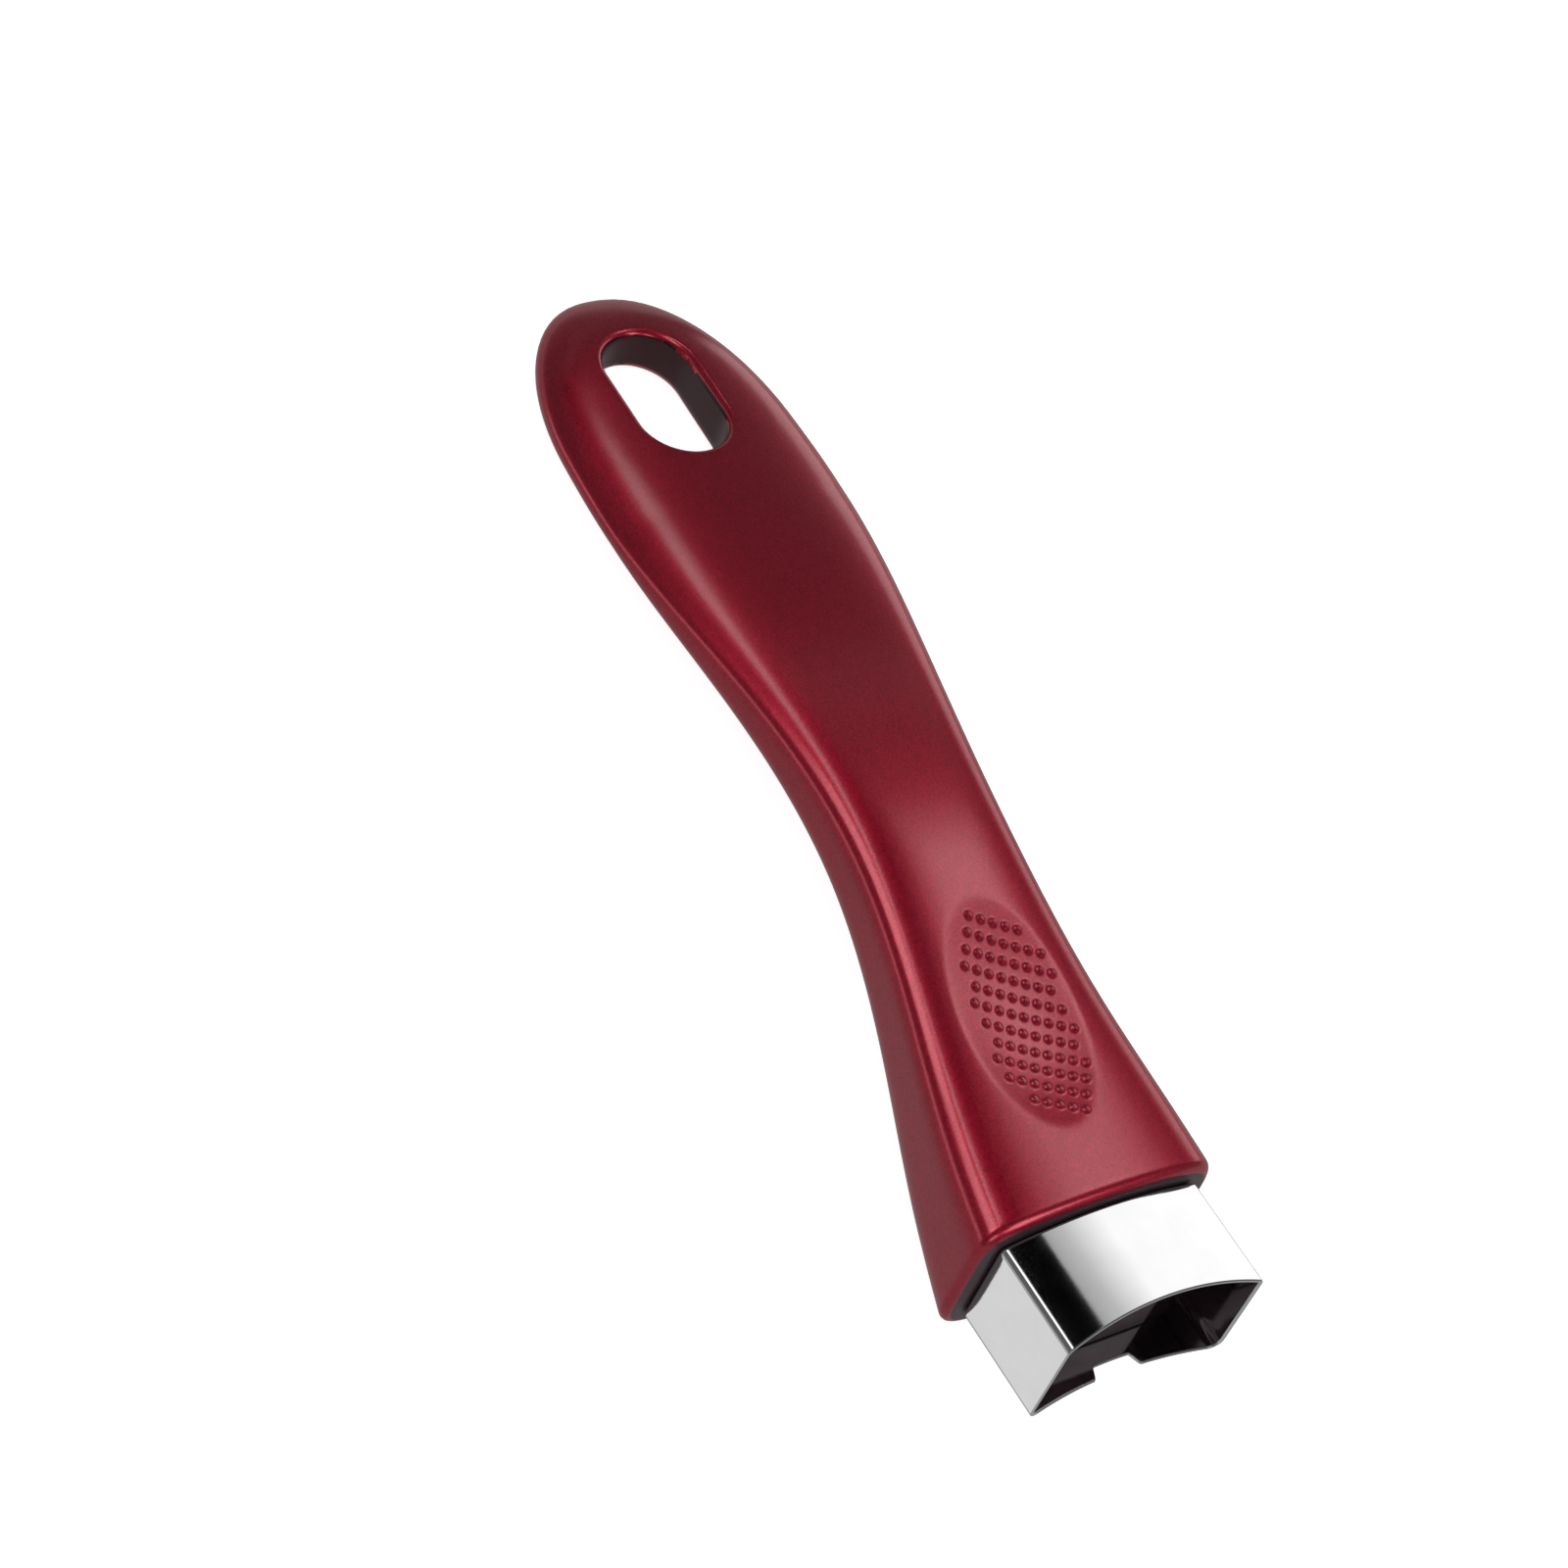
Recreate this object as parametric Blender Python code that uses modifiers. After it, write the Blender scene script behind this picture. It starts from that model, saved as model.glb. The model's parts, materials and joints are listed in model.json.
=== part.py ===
"""Long handle of a saucepan or frying pan, off the pan and lying on its own underside.

A one-piece moulded grip carries a polished sheet-metal flame guard on a step and a boss at its
pan end.  A screw with a spring washer and a flat washer waits in its pocket in the underside: it
clamps the tongue of the pan's bracket, which slides into the socket in the boss.

Everything is drawn about the guard's axis: +X towards the pan, +Z up, and x = 0 at the grip's
front face, where the guard's rear edge stops.  The whole handle is then tilted until it lies
level on its front lower edge and its tail, with the origin under the middle of its box.
"""
import math

import bmesh
import bpy
import numpy as np

# ---- Driving sizes, in metres ----

# Grip: its length, and (share of that length from the front face, size) for each outline.
# The front face itself is the guard's outline and a rim around it.
GRIP_LENGTH = 0.1583
WIDTHS_BEHIND_FACE = ((0.07, 0.0193), (0.21, 0.0154), (0.37, 0.0136),
                      (0.54, 0.0166), (0.71, 0.0202), (0.87, 0.0194))
TOPS_BEHIND_FACE = ((0.15, 0.0177), (0.33, 0.0266), (0.51, 0.0317),
                    (0.69, 0.0334), (0.87, 0.0344))
THICKNESSES_BEHIND_FACE = ((0.21, 0.0166), (0.51, 0.0109), (0.87, 0.0089))
SIDE_RIM = 0.0036
TOP_RIM = 0.0024
BOTTOM_RIM = 0.0027
LAST_STATION = 0.87
TOP_CROWN = ((0.0, 0.0014), (0.5, 0.0005), (1.0, 0.0))
FRONT_SQUARENESS = 6.5
TAIL_SQUARENESS = 2.3
SQUARENESS_FADE = 0.72
TAIL_ROUND_WIDE = 0.0288
TAIL_ROUND_HIGH = 0.0190
TAIL_CURVE = 2.2
FRONT_EDGE_RADIUS = 0.0015

# Hanging hole, upright through the tail.
HOLE_FROM_TIP = 0.0223
HOLE_LENGTH = 0.0244
HOLE_WIDTH = 0.0144

# Thumb rest, a shallow oval dish in the top.
REST_FROM_FRONT = 0.0272
REST_LENGTH = 0.0340
REST_WIDTH = 0.0190
REST_DEPTH = 0.0008

# Flame guard, a sheet sleeve cut hollow where it meets the pan's wall.
GUARD_WIDTH = 0.0342
GUARD_SIDE_HEIGHT = 0.0167
GUARD_FLOOR = -0.0090
GUARD_CROWN = 0.0023
GUARD_TOP_RADIUS = 0.0008
GUARD_BOTTOM_RADIUS = 0.0022
GUARD_LENGTH = 0.0176
GUARD_SHEET = 0.0006
PAN_RADIUS = 0.0780
NOTCH_WIDTH = 0.0072
NOTCH_DEPTH = 0.0019

# Step and boss that the guard sits on, and the socket for the tongue of the pan's bracket.
STEP_LENGTH = 0.0030
BOSS_LENGTH = 0.0105
BOSS_WIDTH = 0.0162
SOCKET_WIDTH = 0.0108
SOCKET_FLOOR = 0.0003
SOCKET_BEHIND_FACE = 0.0125
SOCKET_CORNER_RADIUS = 0.0010

# Fixing screw with its washers, upright through the socket's floor.
SCREW_BEHIND_FACE = 0.0075
SCREW_DIAMETER = 0.0040
SCREW_LENGTH = 0.0110
HEAD_DIAMETER = 0.0078
HEAD_HEIGHT = 0.0024
HEAD_EDGE_RADIUS = 0.0009
CROSS_SPAN = 0.0042
CROSS_WIDTH = 0.0009
CROSS_DEPTH = 0.0014
SHOULDER = 0.0023
FLAT_WASHER_DIAMETER = 0.0090
FLAT_WASHER_THICKNESS = 0.0008
SPRING_WASHER_DIAMETER = 0.0074
SPRING_WASHER_THICKNESS = 0.0009
SPRING_WASHER_SPLIT = 0.0008

# Clearances and overcuts.
SEAT_GAP = 0.0003
SCREW_HOLE_CLEARANCE = 0.0004
SCREW_TIP_CLEARANCE = 0.0007
POCKET_CLEARANCE = 0.0003
OVERCUT = 0.0040

# How finely the curved surfaces are divided.
STATIONS = 46
RING_POINTS = 48
TIP_RINGS = 7
EDGE_RINGS = 4
ROUND_SEGMENTS = 32

# ---- What follows from them ----

WASHER_SEAT_Z = SOCKET_FLOOR - SHOULDER
FLAT_WASHER_TOP_Z = WASHER_SEAT_Z - SEAT_GAP
SPRING_WASHER_TOP_Z = FLAT_WASHER_TOP_Z - FLAT_WASHER_THICKNESS - SEAT_GAP
HEAD_TOP_Z = SPRING_WASHER_TOP_Z - SPRING_WASHER_THICKNESS - SEAT_GAP
SOCKET_HEIGHT = HEAD_TOP_Z + SCREW_LENGTH + SCREW_TIP_CLEARANCE - SOCKET_FLOOR
SCREW_X = -SCREW_BEHIND_FACE
WASHER_HOLE_DIAMETER = SCREW_DIAMETER + 2 * SEAT_GAP
GUARD_TOP = GUARD_FLOOR + GUARD_SIDE_HEIGHT + GUARD_CROWN
FACE_TOP = GUARD_TOP + TOP_RIM
FACE_THICKNESS = FACE_TOP - GUARD_FLOOR + BOTTOM_RIM
HALF_WIDTHS = ((0.0, GUARD_WIDTH / 2 + SIDE_RIM), *WIDTHS_BEHIND_FACE)
TOP_HEIGHTS = ((0.0, FACE_TOP), *TOPS_BEHIND_FACE)
THICKNESSES = ((0.0, FACE_THICKNESS), *THICKNESSES_BEHIND_FACE)


# ---- Scene and object helpers ----

def clear_scene():
    """Starts from an empty scene."""
    for obj in list(bpy.data.objects):
        bpy.data.objects.remove(obj)


def make_collection(name):
    """A new collection in the scene."""
    collection = bpy.data.collections.new(name)
    bpy.context.scene.collection.children.link(collection)
    return collection


def make_material(name, colour, roughness, metallic):
    """A Principled material with one colour, roughness and metallic value."""
    material = bpy.data.materials.new(name)
    material.use_nodes = True
    shader = material.node_tree.nodes["Principled BSDF"]
    shader.inputs["Base Color"].default_value = (*colour, 1.0)
    shader.inputs["Roughness"].default_value = roughness
    shader.inputs["Metallic"].default_value = metallic
    return material


def make_object(name, points, faces, collection, parent):
    """A mesh object under the tilted empty, with its outward side found from its shape."""
    mesh = bpy.data.meshes.new(name)
    mesh.from_pydata([tuple(p) for p in points], [], faces)
    mesh.validate()
    obj = bpy.data.objects.new(name, mesh)
    collection.objects.link(obj)
    obj.parent = parent
    return obj


def settle_primitive(name, collection, parent):
    """Takes the primitive just added into its own collection, with its scale applied."""
    obj = bpy.context.active_object
    obj.name = name
    bpy.ops.object.transform_apply(location=False, rotation=True, scale=True)
    for old in list(obj.users_collection):
        old.objects.unlink(obj)
    collection.objects.link(obj)
    obj.parent = parent
    return obj


def as_cutter(obj):
    """Marks an object as a cutter, which shows as a wire frame and isn't part of the model."""
    obj.hide_render = True
    obj.display_type = "WIRE"
    return obj


def combine(obj, other, operation):
    """An exact Boolean of obj with another object."""
    modifier = obj.modifiers.new(operation.lower() + "_" + other.name, "BOOLEAN")
    modifier.operation = operation
    modifier.solver = "EXACT"
    modifier.object = other


def shade_round(obj, angle=math.radians(35)):
    """Smooth shading with the edges steeper than the angle kept sharp."""
    obj.data.shade_smooth()
    obj.data.set_sharp_from_angle(angle=angle)


# ---- Curves and sections ----

def smooth_curve(stations, at):
    """The natural cubic spline through (position, value) pairs, read at the positions given."""
    place = np.array([p for p, _ in stations])
    value = np.array([v for _, v in stations])
    count = len(place)
    step = np.diff(place)
    matrix = np.eye(count)
    right = np.zeros(count)
    for i in range(1, count - 1):
        matrix[i, i - 1:i + 2] = step[i - 1], 2 * (step[i - 1] + step[i]), step[i]
        rise = np.diff(value) / step
        right[i] = 6 * (rise[i] - rise[i - 1])
    bend = np.linalg.solve(matrix, right)
    j = np.clip(np.searchsorted(place, at) - 1, 0, count - 2)
    a = (place[j + 1] - at) / step[j]
    b = (at - place[j]) / step[j]
    curved = (a ** 3 - a) * bend[j] + (b ** 3 - b) * bend[j + 1]
    return a * value[j] + b * value[j + 1] + curved * step[j] ** 2 / 6


def outline_value(stations, share):
    """A spline's value, carried straight on past its last station."""
    inside = np.minimum(share, LAST_STATION)
    end = np.full_like(share, LAST_STATION)
    tiny = 0.001
    slope = (smooth_curve(stations, end) - smooth_curve(stations, end - tiny)) / tiny
    return smooth_curve(stations, inside) + (share - inside) * slope


def rounded_end(distance, length, power):
    """1 until the last stretch of the grip, then a superellipse quarter down to 0 at the tip."""
    inside = np.clip((distance - (GRIP_LENGTH - length)) / length, 0, 1)
    return np.maximum(1 - inside ** power, 0) ** (1 / power)


def grip_profile(x):
    """Half width, middle height, half thickness, squareness and crown of the section at x."""
    distance = -np.asarray(x, float)
    share = distance / GRIP_LENGTH
    thickness = outline_value(THICKNESSES, share)
    middle = outline_value(TOP_HEIGHTS, share) - thickness / 2
    half_width = outline_value(HALF_WIDTHS, share)
    half_width = half_width * rounded_end(distance, TAIL_ROUND_WIDE, TAIL_CURVE)
    half_height = thickness / 2 * rounded_end(distance, TAIL_ROUND_HIGH, 2.0)
    fade = np.clip(share / SQUARENESS_FADE, 0, 1)
    squareness = FRONT_SQUARENESS + (TAIL_SQUARENESS - FRONT_SQUARENESS) * fade
    crown = smooth_curve(TOP_CROWN, share)
    return half_width, middle, half_height, squareness, crown


def grip_faces(x):
    """Heights of the underside and of the top at the middle of the section at x."""
    _, middle, half_height, _, _ = grip_profile(np.array([x]))
    return float(middle[0] - half_height[0]), float(middle[0] + half_height[0])


def grip_ring(x, inset=0.0):
    """The section at x, a superellipse whose top sinks towards its sides by the crown."""
    half_width, middle, half_height, squareness, crown = grip_profile(np.array([x]))
    angle = np.linspace(0, 2 * math.pi, RING_POINTS, endpoint=False)
    c, s = np.cos(angle), np.sin(angle)
    power = 2 / squareness
    across = np.sign(c) * np.abs(c) ** power
    up = np.sign(s) * np.abs(s) ** power
    y = (half_width - inset) * across
    z = middle + (half_height - inset) * up
    z = z - np.maximum(up, 0) * crown * across ** 2
    return [(x, float(b), float(h)) for b, h in zip(y, z)]


def loft(rings, closed_start=True, closed_end=True):
    """Points and faces of a skin over rings with the same number of points."""
    count = len(rings[0])
    points = [p for ring in rings for p in ring]
    faces = []
    for r in range(len(rings) - 1):
        for i in range(count):
            a, b = r * count + i, r * count + (i + 1) % count
            faces.append((a, b, b + count, a + count))
    if closed_start:
        faces.append(tuple(reversed(range(count))))
    if closed_end:
        last = (len(rings) - 1) * count
        faces.append(tuple(range(last, last + count)))
    return points, faces


def turn_outwards(obj):
    """Makes every face point outwards."""
    mesh = bmesh.new()
    mesh.from_mesh(obj.data)
    bmesh.ops.recalc_face_normals(mesh, faces=mesh.faces)
    mesh.to_mesh(obj.data)
    mesh.free()


def arc(centre, radius, start, end, count):
    """Points of an arc in the Y-Z plane, from one angle to another."""
    angles = np.linspace(start, end, count)
    return [(centre[0] + radius * math.cos(a), centre[1] + radius * math.sin(a)) for a in angles]


def guard_outline(inset):
    """The guard's outline moved in by inset: flat floor, upright sides and a crowned top."""
    half = GUARD_WIDTH / 2 - inset
    low = GUARD_FLOOR + inset
    crown_radius = (GUARD_WIDTH ** 2 / 4 + GUARD_CROWN ** 2) / (2 * GUARD_CROWN)
    crown_centre = GUARD_TOP - crown_radius
    top_radius = max(GUARD_TOP_RADIUS - inset, 0.0002)
    low_radius = max(GUARD_BOTTOM_RADIUS - inset, 0.0002)
    reach = crown_radius - inset - top_radius
    corner_y = half - top_radius
    corner_z = crown_centre + math.sqrt(reach ** 2 - corner_y ** 2)
    lean = math.atan2(corner_z - crown_centre, corner_y)
    right = math.pi / 2
    outline = arc((half - low_radius, low + low_radius), low_radius, -right, 0, 6)
    outline += arc((corner_y, corner_z), top_radius, 0, lean, 4)
    outline += arc((0, crown_centre), crown_radius - inset, lean, math.pi - lean, 17)[1:-1]
    outline += arc((-corner_y, corner_z), top_radius, math.pi - lean, math.pi, 4)
    outline += arc((-half + low_radius, low + low_radius), low_radius, math.pi, 3 * right, 6)
    return outline


# ---- Grip ----

def grip_body(collection, parent):
    """The moulded body, from its rounded tip to its rounded front edge."""
    tip = [GRIP_LENGTH - TAIL_ROUND_HIGH * (1 - math.sin(a))
           for a in np.linspace(1.52, 0.12, TIP_RINGS)]
    straight = np.linspace(GRIP_LENGTH - TAIL_ROUND_HIGH, FRONT_EDGE_RADIUS, STATIONS)
    rings = [grip_ring(-d) for d in tip] + [grip_ring(-d) for d in straight]
    for turn in np.linspace(0, math.pi / 2, EDGE_RINGS)[1:]:
        rings.append(grip_ring(FRONT_EDGE_RADIUS * (math.sin(turn) - 1),
                               FRONT_EDGE_RADIUS * (1 - math.cos(turn))))
    obj = make_object("grip", *loft(rings), collection, parent)
    turn_outwards(obj)
    return obj


def guard_seat(cutters, parent):
    """The low step that fills the guard, and the boss that reaches forward inside it."""
    outline = guard_outline(GUARD_SHEET + SEAT_GAP)
    rear = -OVERCUT
    step = make_object("guard_step", *loft([[(x, y, z) for y, z in outline]
                                            for x in (rear, STEP_LENGTH)]), cutters, parent)
    turn_outwards(step)
    bpy.ops.mesh.primitive_cube_add(size=1)
    block = bpy.context.active_object
    height = 2 * GUARD_SIDE_HEIGHT
    block.scale = (BOSS_LENGTH - rear, BOSS_WIDTH, height)
    block.location = ((BOSS_LENGTH + rear) / 2, 0, 0)
    settle_primitive("boss_block", cutters, parent)
    boss = make_object("guard_boss", *loft([[(x, y, z) for y, z in outline]
                                            for x in (rear, BOSS_LENGTH)]), cutters, parent)
    turn_outwards(boss)
    combine(boss, as_cutter(block), "INTERSECT")
    return as_cutter(step), as_cutter(boss)


def hole_cutter(cutters, parent):
    """The hanging hole: a prism with round ends, upright through the tail."""
    half_width = HOLE_WIDTH / 2
    straight = HOLE_LENGTH / 2 - half_width
    centre = -(GRIP_LENGTH - HOLE_FROM_TIP)
    front = np.linspace(-math.pi / 2, math.pi / 2, 13)
    outline = [(centre + straight + half_width * math.cos(a), half_width * math.sin(a))
               for a in front]
    outline += [(centre - straight - half_width * math.cos(a), -half_width * math.sin(a))
                for a in front]
    underside, top = grip_faces(centre)
    rings = [[(x, y, z) for x, y in outline] for z in (underside - OVERCUT, top + OVERCUT)]
    obj = make_object("hanging_hole", *loft(rings), cutters, parent)
    turn_outwards(obj)
    return as_cutter(obj)


def rest_cutter(cutters, parent):
    """The thumb rest's dish: the lower cap of a flattened ball that lies along the top."""
    _, surface = grip_faces(-REST_FROM_FRONT)
    _, behind = grip_faces(-REST_FROM_FRONT - REST_LENGTH / 2)
    _, ahead = grip_faces(-REST_FROM_FRONT + REST_LENGTH / 2)
    slope = math.atan2(behind - ahead, REST_LENGTH)
    bulge = 3.0
    bpy.ops.mesh.primitive_uv_sphere_add(segments=ROUND_SEGMENTS, ring_count=24, radius=1)
    ball = bpy.context.active_object
    # A ball this much larger than the dish meets the surface along the dish's own outline.
    share = math.sqrt(1 - (1 - 1 / bulge) ** 2)
    ball.scale = (REST_LENGTH / 2 / share / math.cos(slope), REST_WIDTH / 2 / share,
                  REST_DEPTH * bulge)
    ball.rotation_euler = (0, slope, 0)
    ball.location = (-REST_FROM_FRONT, 0, surface + REST_DEPTH * (bulge - 1))
    return as_cutter(settle_primitive("thumb_rest", cutters, parent))


def socket_cutter(cutters, parent):
    """The bracket's socket, open at the boss's front face."""
    bpy.ops.mesh.primitive_cube_add(size=1)
    block = bpy.context.active_object
    front = BOSS_LENGTH + OVERCUT
    block.scale = (front + SOCKET_BEHIND_FACE, SOCKET_WIDTH, SOCKET_HEIGHT)
    block.location = ((front - SOCKET_BEHIND_FACE) / 2, 0, SOCKET_FLOOR + SOCKET_HEIGHT / 2)
    settle_primitive("bracket_socket", cutters, parent)
    bevel = block.modifiers.new("corners", "BEVEL")
    bevel.width = SOCKET_CORNER_RADIUS
    bevel.segments = 2
    return as_cutter(block)


def cylinder(name, diameter, low, high, collection, parent):
    """An upright cylinder on the screw's axis."""
    bpy.ops.mesh.primitive_cylinder_add(vertices=ROUND_SEGMENTS, radius=diameter / 2,
                                        depth=high - low)
    bpy.context.active_object.location = (SCREW_X, 0, (low + high) / 2)
    return settle_primitive(name, collection, parent)


def screw_cutters(cutters, parent):
    """The screw's clearance hole through the socket's floor, and its pocket in the underside."""
    underside, _ = grip_faces(SCREW_X)
    below = underside - OVERCUT
    hole = cylinder("screw_hole", SCREW_DIAMETER + 2 * SCREW_HOLE_CLEARANCE, below,
                    SOCKET_FLOOR + SOCKET_HEIGHT / 2, cutters, parent)
    pocket_diameter = max(HEAD_DIAMETER, FLAT_WASHER_DIAMETER) + 2 * POCKET_CLEARANCE
    pocket = cylinder("screw_pocket", pocket_diameter, below, WASHER_SEAT_Z, cutters, parent)
    return as_cutter(hole), as_cutter(pocket)


def build_grip(model, cutters, parent):
    """The one-piece grip, with its seat for the guard and everything that is cut into it."""
    grip = grip_body(model, parent)
    for seat in guard_seat(cutters, parent):
        combine(grip, seat, "UNION")
    for cutter in (socket_cutter(cutters, parent), *screw_cutters(cutters, parent),
                   hole_cutter(cutters, parent), rest_cutter(cutters, parent)):
        combine(grip, cutter, "DIFFERENCE")
    shade_round(grip)
    grip.data.materials.append(make_material("burgundy_lacquer", (0.22, 0.012, 0.028), 0.28, 0.45))
    return grip


# ---- Flame guard ----

def build_guard(model, cutters, parent):
    """The guard: a bent sheet sleeve with its pan end cut to the pan's round wall and notched."""
    outline = guard_outline(0.0)
    rear = SEAT_GAP
    front = GUARD_LENGTH
    rings = [[(x - front / 2, y, z) for y, z in outline] for x in (rear, front)]
    guard = make_object("flame_guard", *loft(rings, False, False), model, parent)
    guard.location = (front / 2, 0, 0)
    turn_outwards(guard)
    sheet = guard.modifiers.new("sheet", "SOLIDIFY")
    sheet.thickness = GUARD_SHEET
    sheet.offset = -1
    sheet.use_even_offset = True

    corner = GUARD_WIDTH / 2
    reach = PAN_RADIUS - math.sqrt(PAN_RADIUS ** 2 - corner ** 2)
    bpy.ops.mesh.primitive_cylinder_add(vertices=360, radius=PAN_RADIUS,
                                        depth=4 * GUARD_SIDE_HEIGHT)
    bpy.context.active_object.location = (front - reach + PAN_RADIUS, 0, 0)
    combine(guard, as_cutter(settle_primitive("pan_wall", cutters, parent)), "DIFFERENCE")

    bpy.ops.mesh.primitive_cube_add(size=1)
    block = bpy.context.active_object
    block.scale = (2 * (NOTCH_DEPTH + reach), NOTCH_WIDTH, 2 * GUARD_SHEET + GUARD_BOTTOM_RADIUS)
    block.location = (front, 0, GUARD_FLOOR)
    settle_primitive("floor_notch", cutters, parent)
    bevel = block.modifiers.new("corners", "BEVEL")
    bevel.width = NOTCH_DEPTH / 2
    bevel.segments = 3
    combine(guard, as_cutter(block), "DIFFERENCE")

    shade_round(guard)
    guard.data.materials.append(make_material("polished_steel", (0.78, 0.78, 0.79), 0.06, 1.0))
    return guard


# ---- Screw and washers ----

def turned(name, profile, collection, parent):
    """A solid of revolution about its own Z axis, from (radius, height) pairs, top to bottom."""
    mesh = bpy.data.meshes.new(name)
    edges = [(i, i + 1) for i in range(len(profile) - 1)]
    mesh.from_pydata([(r, 0, z) for r, z in profile], edges, [])
    obj = bpy.data.objects.new(name, mesh)
    collection.objects.link(obj)
    obj.parent = parent
    spin = obj.modifiers.new("turn", "SCREW")
    spin.steps = ROUND_SEGMENTS
    spin.render_steps = ROUND_SEGMENTS
    spin.use_merge_vertices = True
    spin.merge_threshold = 0.00001
    return obj


def build_screw(model, cutters, parent):
    """The fixing screw, head down, its origin on its axis under the head."""
    shank = SCREW_DIAMETER / 2
    head = HEAD_DIAMETER / 2
    chamfer = SCREW_DIAMETER / 8
    profile = [(0, SCREW_LENGTH), (shank - chamfer, SCREW_LENGTH),
               (shank, SCREW_LENGTH - chamfer), (shank, 0), (head, 0)]
    centre = (head - HEAD_EDGE_RADIUS, HEAD_EDGE_RADIUS - HEAD_HEIGHT)
    profile += arc(centre, HEAD_EDGE_RADIUS, 0, -math.pi / 2, 5)
    profile += [(0, -HEAD_HEIGHT)]
    screw = turned("fixing_screw", profile, model, parent)
    screw.location = (SCREW_X, 0, HEAD_TOP_Z)
    for turn in (0, math.pi / 2):
        bpy.ops.mesh.primitive_cube_add(size=1)
        bar = bpy.context.active_object
        bar.scale = (CROSS_SPAN, CROSS_WIDTH, 2 * CROSS_DEPTH)
        bar.rotation_euler = (0, 0, turn)
        bar.location = (SCREW_X, 0, HEAD_TOP_Z - HEAD_HEIGHT)
        combine(screw, as_cutter(settle_primitive("cross_slot", cutters, parent)), "DIFFERENCE")
    screw.data.materials.append(make_material("zinc_plate", (0.62, 0.63, 0.66), 0.3, 1.0))
    return screw


def build_washers(model, cutters, parent):
    """A flat washer against the pocket's floor, and a split spring washer under it."""
    bore = WASHER_HOLE_DIAMETER / 2
    washers = []
    for name, diameter, thickness, top in (
            ("flat_washer", FLAT_WASHER_DIAMETER, FLAT_WASHER_THICKNESS, FLAT_WASHER_TOP_Z),
            ("spring_washer", SPRING_WASHER_DIAMETER, SPRING_WASHER_THICKNESS,
             SPRING_WASHER_TOP_Z)):
        edge = diameter / 2
        profile = [(bore, 0), (edge, 0), (edge, -thickness), (bore, -thickness), (bore, 0)]
        washer = turned(name, profile, model, parent)
        washer.location = (SCREW_X, 0, top)
        washers.append(washer)
    flat, spring = washers
    flat.data.materials.append(make_material("flat_washer_zinc", (0.6, 0.61, 0.63), 0.35, 1.0))
    spring.data.materials.append(make_material("spring_steel", (0.34, 0.34, 0.35), 0.4, 1.0))
    bpy.ops.mesh.primitive_cube_add(size=1)
    split = bpy.context.active_object
    split.scale = (SPRING_WASHER_SPLIT, SPRING_WASHER_DIAMETER, 4 * SPRING_WASHER_THICKNESS)
    split.rotation_euler = (math.radians(25), 0, 0)
    split.location = (SCREW_X, SPRING_WASHER_DIAMETER / 2,
                      SPRING_WASHER_TOP_Z - SPRING_WASHER_THICKNESS / 2)
    combine(spring, as_cutter(settle_primitive("washer_split", cutters, parent)), "DIFFERENCE")
    return washers


# ---- Lying level ----

def evaluated_points(objects):
    """Every corner of the finished meshes, as placed."""
    depsgraph = bpy.context.evaluated_depsgraph_get()
    points = []
    for obj in objects:
        finished = obj.evaluated_get(depsgraph)
        points += [tuple(finished.matrix_world @ v.co) for v in finished.data.vertices]
    return np.array(points)


def lay_down(objects, parent):
    """Tilts the handle until its tail is as low as its front edge, and stands it on the origin."""
    points = evaluated_points(objects)
    front = points[np.argmin(points[:, 2])]
    tail = points[points[:, 0] < -GRIP_LENGTH / 2]
    rise = np.arctan2(tail[:, 2] - front[2], front[0] - tail[:, 0])
    parent.rotation_euler = (0, -float(rise.min()), 0)
    bpy.context.view_layer.update()
    points = evaluated_points(objects)
    low, high = points.min(axis=0), points.max(axis=0)
    parent.location = (-(low[0] + high[0]) / 2, -(low[1] + high[1]) / 2, -low[2])
    bpy.context.view_layer.update()


def main():
    """Builds the handle's five pieces."""
    clear_scene()
    model = make_collection("cookware_handle")
    cutters = make_collection("cutters")
    tilt = bpy.data.objects.new("guard_axis", None)
    model.objects.link(tilt)
    parts = [build_grip(model, cutters, tilt), build_guard(model, cutters, tilt),
             build_screw(model, cutters, tilt), *build_washers(model, cutters, tilt)]
    lay_down(parts, tilt)
    print("tilt in degrees:", round(math.degrees(-tilt.rotation_euler.y), 4))
    print("front face's middle, in metres:", [round(v, 6) for v in tilt.location])


main()
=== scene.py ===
# %% [markdown]
# # A saucepan's long handle, off its pan
#
# The handle has five real pieces: a moulded grip in burgundy lacquer, a polished sheet-steel
# flame guard that slips over the grip's pan end, and a fixing screw with two washers that waits
# in the underside.  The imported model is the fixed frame: it says where each piece is and how it
# moves.  This file gives every piece its fine surface and its finish, and moves nothing.
#
# Two ways were possible for the fine surfaces.  One is to subdivide the plain solids, which
# keeps their facets' mistakes.  The other is to work each surface out again from its own
# formula, with many more points.  The second is used here, because the grip's shape is a
# formula already: superellipse sections along smooth curves.

# %% The frame
import json
import math

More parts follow.
